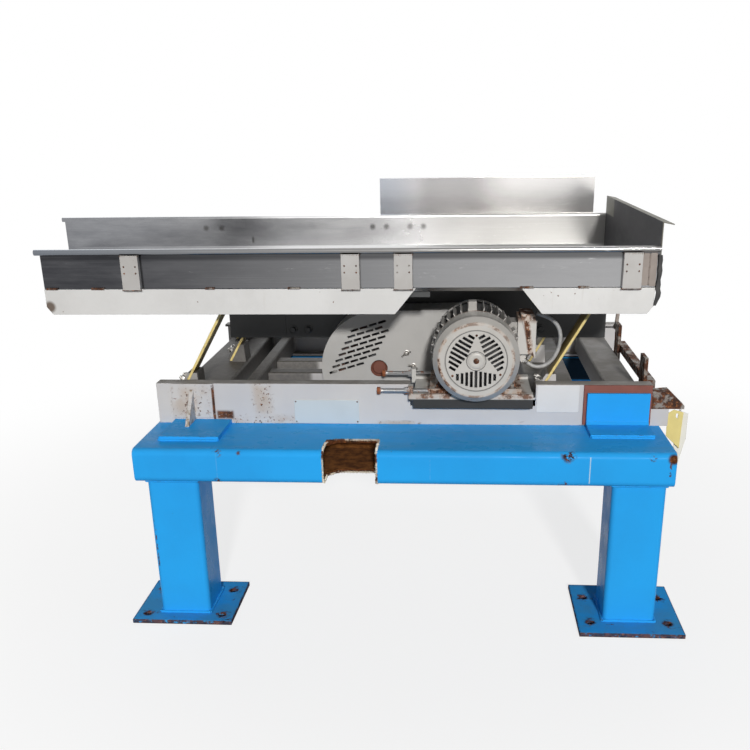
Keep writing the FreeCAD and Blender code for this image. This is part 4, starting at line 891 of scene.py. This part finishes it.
def conduit():
    """The grey flexible conduit, as one smooth spline."""
    look = Shade("conduit_grey")
    ribs = look.noise(90, 4)
    look.tone = look.mix(ribs.step(0.35, 0.7), *CONDUIT_GREY)
    look.bump(ribs, 0.3, 0.5)
    data = bpy.data.curves.new("conduit_loop", "CURVE")
    data.dimensions = "3D"
    data.bevel_depth = CONDUIT_SIZE / 2 * MM
    data.bevel_resolution = 6
    data.resolution_u = 16
    data.use_fill_caps = True
    spline = data.splines.new("NURBS")
    spline.points.add(len(CONDUIT_ROUTE) - 1)
    for point, (x, z) in zip(spline.points, CONDUIT_ROUTE):
        point.co = (x * MM, CONDUIT_DEPTH * MM, z * MM, 1)
    spline.order_u = 3
    spline.use_endpoint_u = True
    data.materials.append(look.done(0.45))
    made = show("conduit_loop", data)
    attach(made, "base")
    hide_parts("conduit")


conduit()

# Clamp bolts on the slats
CLAMP_OUT = Vector((-math.cos(LEAN), 0, math.sin(LEAN)))
CLAMP_STAND_OFF = 9.3
CLAMP_LEVELS = {"base": 671.7, "trough": 909.5}
CLAMP_SHARES = (0.27, 0.73)
for body, level in CLAMP_LEVELS.items():
    form = Form()
    for slat in SLATS:
        low, high = extent(f"slat_{slat}")
        x = low[0] - CLAMP_STAND_OFF + (level - low[2]) * SLOPE
        for share in CLAMP_SHARES:
            form.bolt((x, low[1] + (high[1] - low[1]) * share, level), CLAMP_OUT, 18, 5)
    form.piece(f"clamp_bolts_{body}", body, PLATED)

# Spine: bolts and the seams between its plates
SPINE_FACE = -40
SPINE_BOLTS = ((-412, 758), (-359, 758), (437, 761))
SPINE_SEAMS = (-438, 412)
form = Form()
for x, z in SPINE_BOLTS:
    form.bolt((x, SPINE_FACE, z), FORWARD, 18)
for x in SPINE_SEAMS:
    form.slab(rounded(x - 1.2, x + 1.2, 731, 943, 0.8, 2), SPINE_FACE - 1, SPINE_FACE + 0.5)
form.piece("spine_bolts", "trough", SPINE)

# Bearing blocks and motor feet
BLOCK_TOP = 632.8
FOOT_TOP = 670.9
form = Form()
for x in (-177, -25):
    for y in (-60, 100):
        form.bolt((x, y, BLOCK_TOP), UP, 19, 6)
form.piece("block_bolts", "base", PLATED)
form = Form()
for x in (102, 318):
    form.bolt((x, -463, FOOT_TOP), UP, 17, 5)
form.piece("motor_foot_bolts", "base", RUSTED)

# Guard: wing nuts, and the clamped hub seen through its access hole
GUARD_FACE = -215
WING = [(5, 3), (9, 3.5), (15, 9), (17, 14), (15, 17), (11.5, 15.5), (8, 10.5), (5, 8.5)]
WING_THICK = 3


def wing_nut(form, x, z, turn):
    """A wing nut on its washer and stud."""
    place = Vector((x, GUARD_FACE, z))
    form.lathe(place, FORWARD, [(10, 0), (10, 1.2), (9, 1.6)], 20)
    form.lathe(place, FORWARD, [(7, 1.5), (6.4, 6), (5, 10), (3.4, 10.4)], 16)
    form.lathe(place, FORWARD, [(2.8, 10), (2.8, 15), (2.2, 16)], 10)
    across = Vector((math.cos(turn), 0, math.sin(turn)))
    thick = Vector((-math.sin(turn), 0, math.cos(turn))) * WING_THICK
    for way in (-1, 1):
        outline = [place + across * (way * out) + FORWARD * rise - thick / 2 for out, rise in WING]
        form.loft([outline, [point + thick for point in outline]])


form = Form()
wing_nut(form, -10, 717, 0.5)
wing_nut(form, 12, 673, -0.35)
form.piece("wing_nuts", "base", PLATED)

CRANK = Vector((-101, -190, 665))
CRANK_HUB = [(36, -1), (36, 7), (34, 9), (24, 9.5), (21, 13), (18, 14.4), (5, 15)]
CRANK_SCREWS = 28
form = Form()
form.lathe(CRANK, FORWARD, CRANK_HUB, 40)
for step in range(3):
    angle = math.radians(120 * step - 55)
    place = CRANK + Vector((CRANK_SCREWS * math.cos(angle), -9.2, CRANK_SCREWS * math.sin(angle)))
    form.dome(place, FORWARD, 4.5, 4)
form.piece("crank_hub", "eccentric", HUB)

# Fan cowl: rings of its pressed face, hub and screws
COWL_FACE = Vector((210, -552, 775.2))
COWL_SCREWS = ((210, 850), (142, 731), (280, 735))
form = Form()
form.hoop(COWL_FACE, FORWARD, 91, 1.1, 96)
form.hoop(COWL_FACE, FORWARD, 26, 1.3, 48)
form.lathe(COWL_FACE, FORWARD, [(24, -0.3), (22, 1.2), (14, 1.8), (9.5, 0.5)], 40)
form.piece("cowl_rings", "base", COWL)
form = Form()
form.lathe(COWL_FACE, FORWARD, [(8.5, 0.2), (8, 2.6), (5, 3.4), (2, 2.4)], 20)
for x, z in COWL_SCREWS:
    form.dome((x, COWL_FACE.y, z), FORWARD, 3.6, 1.8)
form.piece("cowl_screws", "base", RUSTED)

# Terminal box: lid screws and the conduit's gland
LID_FACE = 391
GLAND = Vector((358, CONDUIT_DEPTH, 736))
GLAND_WAY = Vector((18, 0, -15.5)).normalized()
form = Form()
for y in (-396, -316):
    for z in (762, 858):
        form.dome((LID_FACE, y, z), RIGHT, 4.2, 2.6)
form.hexagon(GLAND - GLAND_WAY * 2, GLAND_WAY, 21, 8)
form.lathe(GLAND, GLAND_WAY, [(9.2, 5), (9.2, 9), (7.6, 13), (6.3, 14)], 20)
form.piece("box_fittings", "base", PLATED)

# Trough: spot welds on the stiffeners, stitch welds on the skirts
STIFFENERS = (-793, -151, 0, 642)
STIFFENER_FACE = 511.5
STIFFENER_HALF = 28
STITCHES = (-1038, -899, -565, -318, 351, 511)
STITCH_LINE = (-497.5, 976.5)
form = Form()
for x in STIFFENERS:
    for face, way in ((-STIFFENER_FACE, FORWARD), (STIFFENER_FACE, -FORWARD)):
        for dx in (-17, 17):
            for z in (1023, 1042):
                form.dome((x + dx, face, z), way, 2.6, 0.9)
form.piece("spot_welds", "trough", RUSTED)
form = Form()
for x in STITCHES:
    wide = random.uniform(12, 20)
    form.bead([(x - wide, *STITCH_LINE), (x + wide, *STITCH_LINE)], 3.4, 0.22, 6, 1.5)
for x in STIFFENERS:
    for z in (974, 1071.5):
        form.bead([(x - STIFFENER_HALF, -509, z), (x + STIFFENER_HALF, -509, z)], 2.4, 0.3, 5, 1.5)
form.piece("trough_welds", "trough", RUSTED)

# Patched corner at the closed end, and the torn rubber seal below the rim as z, left edge and right edge
PATCH_BACK = -494.5
SEAL_LEFT, SEAL_RIGHT, SEAL_FRONT, SEAL_BACK = 712, 717, -503.5, -498.5
SEAL_EDGE = [(1066, 0, 5), (1052, 0, 7), (1038, 1, 6), (1024, 0, 8), (1012, 2, 7), (998, 1, 5), (984, -1, 7)]
SEAL_EDGE += [(972, -2, 6), (962, 0, 9), (950, -1, 8), (940, -2, 4), (932, -3, 1), (925, -4, -2)]
form = Form()
form.slab(rounded(669.5, 688.5, 981, 1071, 2, 2), -497, PATCH_BACK, 0.6)
form.slab(rounded(691.5, 709.5, 979, 1072, 2, 2), -497.6, PATCH_BACK, 0.6)
form.bead([(690, -497, 982), (690, -497, 1070)], 1.6, 0.3, 6)
form.piece("corner_patch", "trough", STAINED)
form = Form()
rings = []
for z, left, right in SEAL_EDGE:
    lean = 1.2 * math.sin(z * 0.11)
    outline = rounded(SEAL_LEFT + left, SEAL_RIGHT + right, SEAL_FRONT + lean, SEAL_BACK + lean, 1, 2)
    rings.append([(x, y, z) for x, y in outline])
form.loft(rings)
form.piece("torn_seal", "trough", RUBBER)

# Blank plates on the front rail
RAIL_FACE = -457
PLATE_THICK = 1.2
form = Form()
form.slab(rounded(-344, -144, 554, 628, 3, 3), RAIL_FACE - PLATE_THICK, RAIL_FACE + 0.3, 0.4)
form.piece("blank_plate", "base", PLATE)
form = Form()
for x in (-339, -149):
    for z in (559, 623):
        form.dome((x, RAIL_FACE - PLATE_THICK, z), FORWARD, 2.6, 1.2)
form.piece("plate_rivets", "base", RUSTED)
form = Form()
form.slab(rounded(396, 522, 593, 677.5, 4, 3), RAIL_FACE - 0.9, RAIL_FACE + 0.3, 0.3)
form.piece("blank_label", "base", LABEL)

# Card tags on a ring round the torn end of the rail
TAG_RING = Vector((826, -448, 606))
TAG_THICK = Vector((0.3, 0.9, 0))
TAG_CURL = 0.00045
TAG_SHARES = (0.14, 0.45, 0.75, 1)
TAG_SIDE_STEPS = 6
YELLOW_TAG = [(806, -452, 602), (836, -450, 592), (832, -446, 478), (790, -448, 518), (788, -452, 590)]
WHITE_TAG = [(822, -446, 598), (852, -443, 586), (852, -440, 506), (834, -438, 430), (816, -440, 480)]
form = Form()
form.hoop(TAG_RING, RIGHT, 9, 0.9, 32)
form.piece("tag_ring", "base", PLATED)


def tag(name, look, corners, hole):
    """A card tag with a round hole, a little curled."""
    middle = Vector(hole)
    outline = []
    for first, second in zip(corners, corners[1:] + corners[:1]):
        for step in range(TAG_SIDE_STEPS):
            outline.append(Vector(first).lerp(Vector(second), step / TAG_SIDE_STEPS))
    rings = []
    for share in TAG_SHARES:
        reaches = [(point - middle) * share for point in outline]
        rings.append([middle + reach + FORWARD * (TAG_CURL * reach.length ** 2) for reach in reaches])
    back = [[point + TAG_THICK for point in ring] for ring in rings]
    form = Form()
    form.loft(rings + back[::-1], looped=True)
    form.piece(name, "base", look)


tag("yellow_tag", PAPER_YELLOW, YELLOW_TAG, (818, -451, 588))
tag("white_tag", PAPER_WHITE, WHITE_TAG, (832, -445, 582))

# Earth strap from the back of the end bracket up to the trough, bowed out between its ends
STRAP_LOW = Vector((727, 174, 712))
STRAP_HIGH = Vector((724, 174, 966))
STRAP_BOW = 9
STRAP_RADIUS = 7
STRAP_RIPPLE = 0.03
STRAP_STEPS = 90
STRAP_SIDES = 16
STRAP_BOLT = Vector((1.5, STRAP_RADIUS - 0.5, 9))
strap_line = []
for step in range(STRAP_STEPS + 1):
    share = step / STRAP_STEPS
    strap_line.append(STRAP_LOW.lerp(STRAP_HIGH, share) + RIGHT * (STRAP_BOW * math.sin(math.pi * share)))
rings = []
for step, centre in enumerate(strap_line):
    run = strap_line[min(step + 1, STRAP_STEPS)] - strap_line[max(step - 1, 0)]
    sideways = FORWARD.cross(run.normalized())
    reach = STRAP_RADIUS * (1 + STRAP_RIPPLE * math.sin(step * 1.9))
    rings.append(circle(centre, FORWARD, sideways, reach, STRAP_SIDES))
form = Form()
form.loft(rings)
made = form.piece("earth_strap", None, STAINED)
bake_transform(made)
form = Form()
form.bolt(STRAP_LOW + STRAP_BOLT, -FORWARD, 12, 3)
form.piece("strap_bolt", "base", STAINED)

# Weld beads on the stand: round the legs at a level and radius, and along the pads
LEG_HALF = 77.5
LEG_CORNERS = ((-1, -1), (1, -1), (1, 1), (-1, 1), (-1, -1))
LEG_WELDS = ((15, 4.5), (449, 3))
PAD_LEVEL = 553.5
PAD_WELDS = (
    ((-720, -628), (-545, -628), 4),
    ((-722.5, -626), (-722.5, -460), 3),
    ((547, -576), (728, -576), 4),
    ((547, 570), (728, 570), 4),
    ((-720, 570), (-545, 570), 4),
)
form = Form()
for x in (-673, 673):
    for y in (-615, 615):
        for z, radius in LEG_WELDS:
            corners = [(x + LEG_HALF * u, y + LEG_HALF * v, z) for u, v in LEG_CORNERS]
            form.bead(corners, radius, 0.1, 9, 3, 7)
for start, end, radius in PAD_WELDS:
    form.bead([(*start, PAD_LEVEL), (*end, PAD_LEVEL)], radius, 0.12, 8, steps=7)
form.piece("stand_welds", "base", STAND)

# Slag left round the burnt notch in the front beam
NOTCH_TOP = [(-225, -690), (-225, -640), (-216, -617), (-193, -608), (-71, -608), (-71, -690)]
NOTCH_BOTTOM = [(-225, -690, 451), (-225, -640, 452), (-193, -609, 452), (-71, -609, 452), (-71, -690, 451)]
NOTCH_SIDE = [(-690, 551), (-703, 546), (-709, 534), (-709, 468), (-703, 456)]
notch = [[(*point, 552) for point in NOTCH_TOP], NOTCH_BOTTOM]
notch += [[(x, *point) for point in NOTCH_SIDE] for x in (-225, -71)]
form = Form()
for path in notch:
    form.bead(path, 3, 0.55, 4.5, 1.4, 6)
form.piece("notch_slag", "base", SLAG)

# Camera, light and floor
FOCAL = 887.4
IMAGE = 750
CENTRE = (396.2, 454.9)
CAMERA_PLACE = (0.15385, -3.0482, 1.409)
YAW, PITCH, ROLL = 4.098, -20.249, 0.898
SKY_LIGHT, SKY_SEEN = 0.13, 1
FLOOR_LIGHT, FLOOR_SEEN = 0.35, 0.92
FLOOR_FADE = (1, 2.8, 0.78, 1)
FLOOR_REACH = 14


def camera():
    """The photograph's camera, solved from its straight edges."""
    data = bpy.data.cameras.new("camera")
    data.sensor_fit = "HORIZONTAL"
    data.sensor_width = 36
    data.lens = data.sensor_width * FOCAL / IMAGE
    data.shift_x = (IMAGE / 2 - CENTRE[0]) / IMAGE
    data.shift_y = (CENTRE[1] - IMAGE / 2) / IMAGE
    turn = (
        Matrix.Rotation(math.radians(YAW), 3, "Z")
        @ Matrix.Rotation(math.radians(PITCH), 3, "X")
        @ Matrix.Rotation(math.radians(ROLL), 3, "Y")
    )
    to_blender = Matrix.Rotation(math.radians(90), 3, "X")
    made = show("camera", data)
    made.matrix_world = Matrix.Translation(CAMERA_PLACE) @ (turn @ to_blender).to_4x4()
    bpy.context.scene.camera = made


def lamp(name, energy, spread, colour, way):
    """A far lamp that shines one way; spread is how wide it looks in the sky, in degrees."""
    data = bpy.data.lights.new(name, "SUN")
    data.energy = energy
    data.angle = math.radians(spread)
    data.color = colour
    made = show(name, data)
    made.rotation_mode = "QUATERNION"
    made.rotation_quaternion = Vector(way).to_track_quat("-Z", "Y")


def sky():
    """White all round, which looks brighter than the even light it gives."""
    world = bpy.data.worlds.new("studio")
    bpy.context.scene.world = world
    world.use_nodes = True
    tree = Nodes(world.node_tree)
    ground = world.node_tree.nodes["Background"].inputs
    tree.join(WHITE, ground["Color"])
    tree.join(tree.seen().step(0, 1, SKY_LIGHT, SKY_SEEN), ground["Strength"])


def floor():
    """A white floor that fades into the sky away from the part."""
    corners = [(x * FLOOR_REACH, y * FLOOR_REACH, 0) for x, y in ((-1, -1), (1, -1), (1, 1), (-1, 1))]
    mesh = bpy.data.meshes.new("floor")
    mesh.from_pydata(corners, [], [(0, 1, 2, 3)])
    look = bpy.data.materials.new("floor")
    look.use_nodes = True
    look.node_tree.nodes.clear()
    tree = Nodes(look.node_tree)
    matt = tree.add("BsdfDiffuse", {"Color": tree.seen().step(0, 1, FLOOR_LIGHT, FLOOR_SEEN)})
    place = tree.add("TexCoord", {})["Object"]
    away = Value(tree, tree.add("VectorMath", {0: place}, operation="LENGTH")["Value"])
    white = tree.add("Emission", {})
    share = tree.seen() & away.step(*FLOOR_FADE)
    both = tree.add("MixShader", {0: share, 1: matt[0], 2: white[0]})
    tree.add("OutputMaterial", {"Surface": both[0]})
    mesh.materials.append(look)
    show("floor", mesh)


camera()
sky()
lamp("sun", 2.75, 5, (1, 0.985, 0.96), (-0.144, 1, -0.4))
lamp("fill", 0.85, 50, (0.97, 0.985, 1), (0.25, -1, -0.85))
floor()
bpy.context.scene.view_settings.view_transform = "Standard"
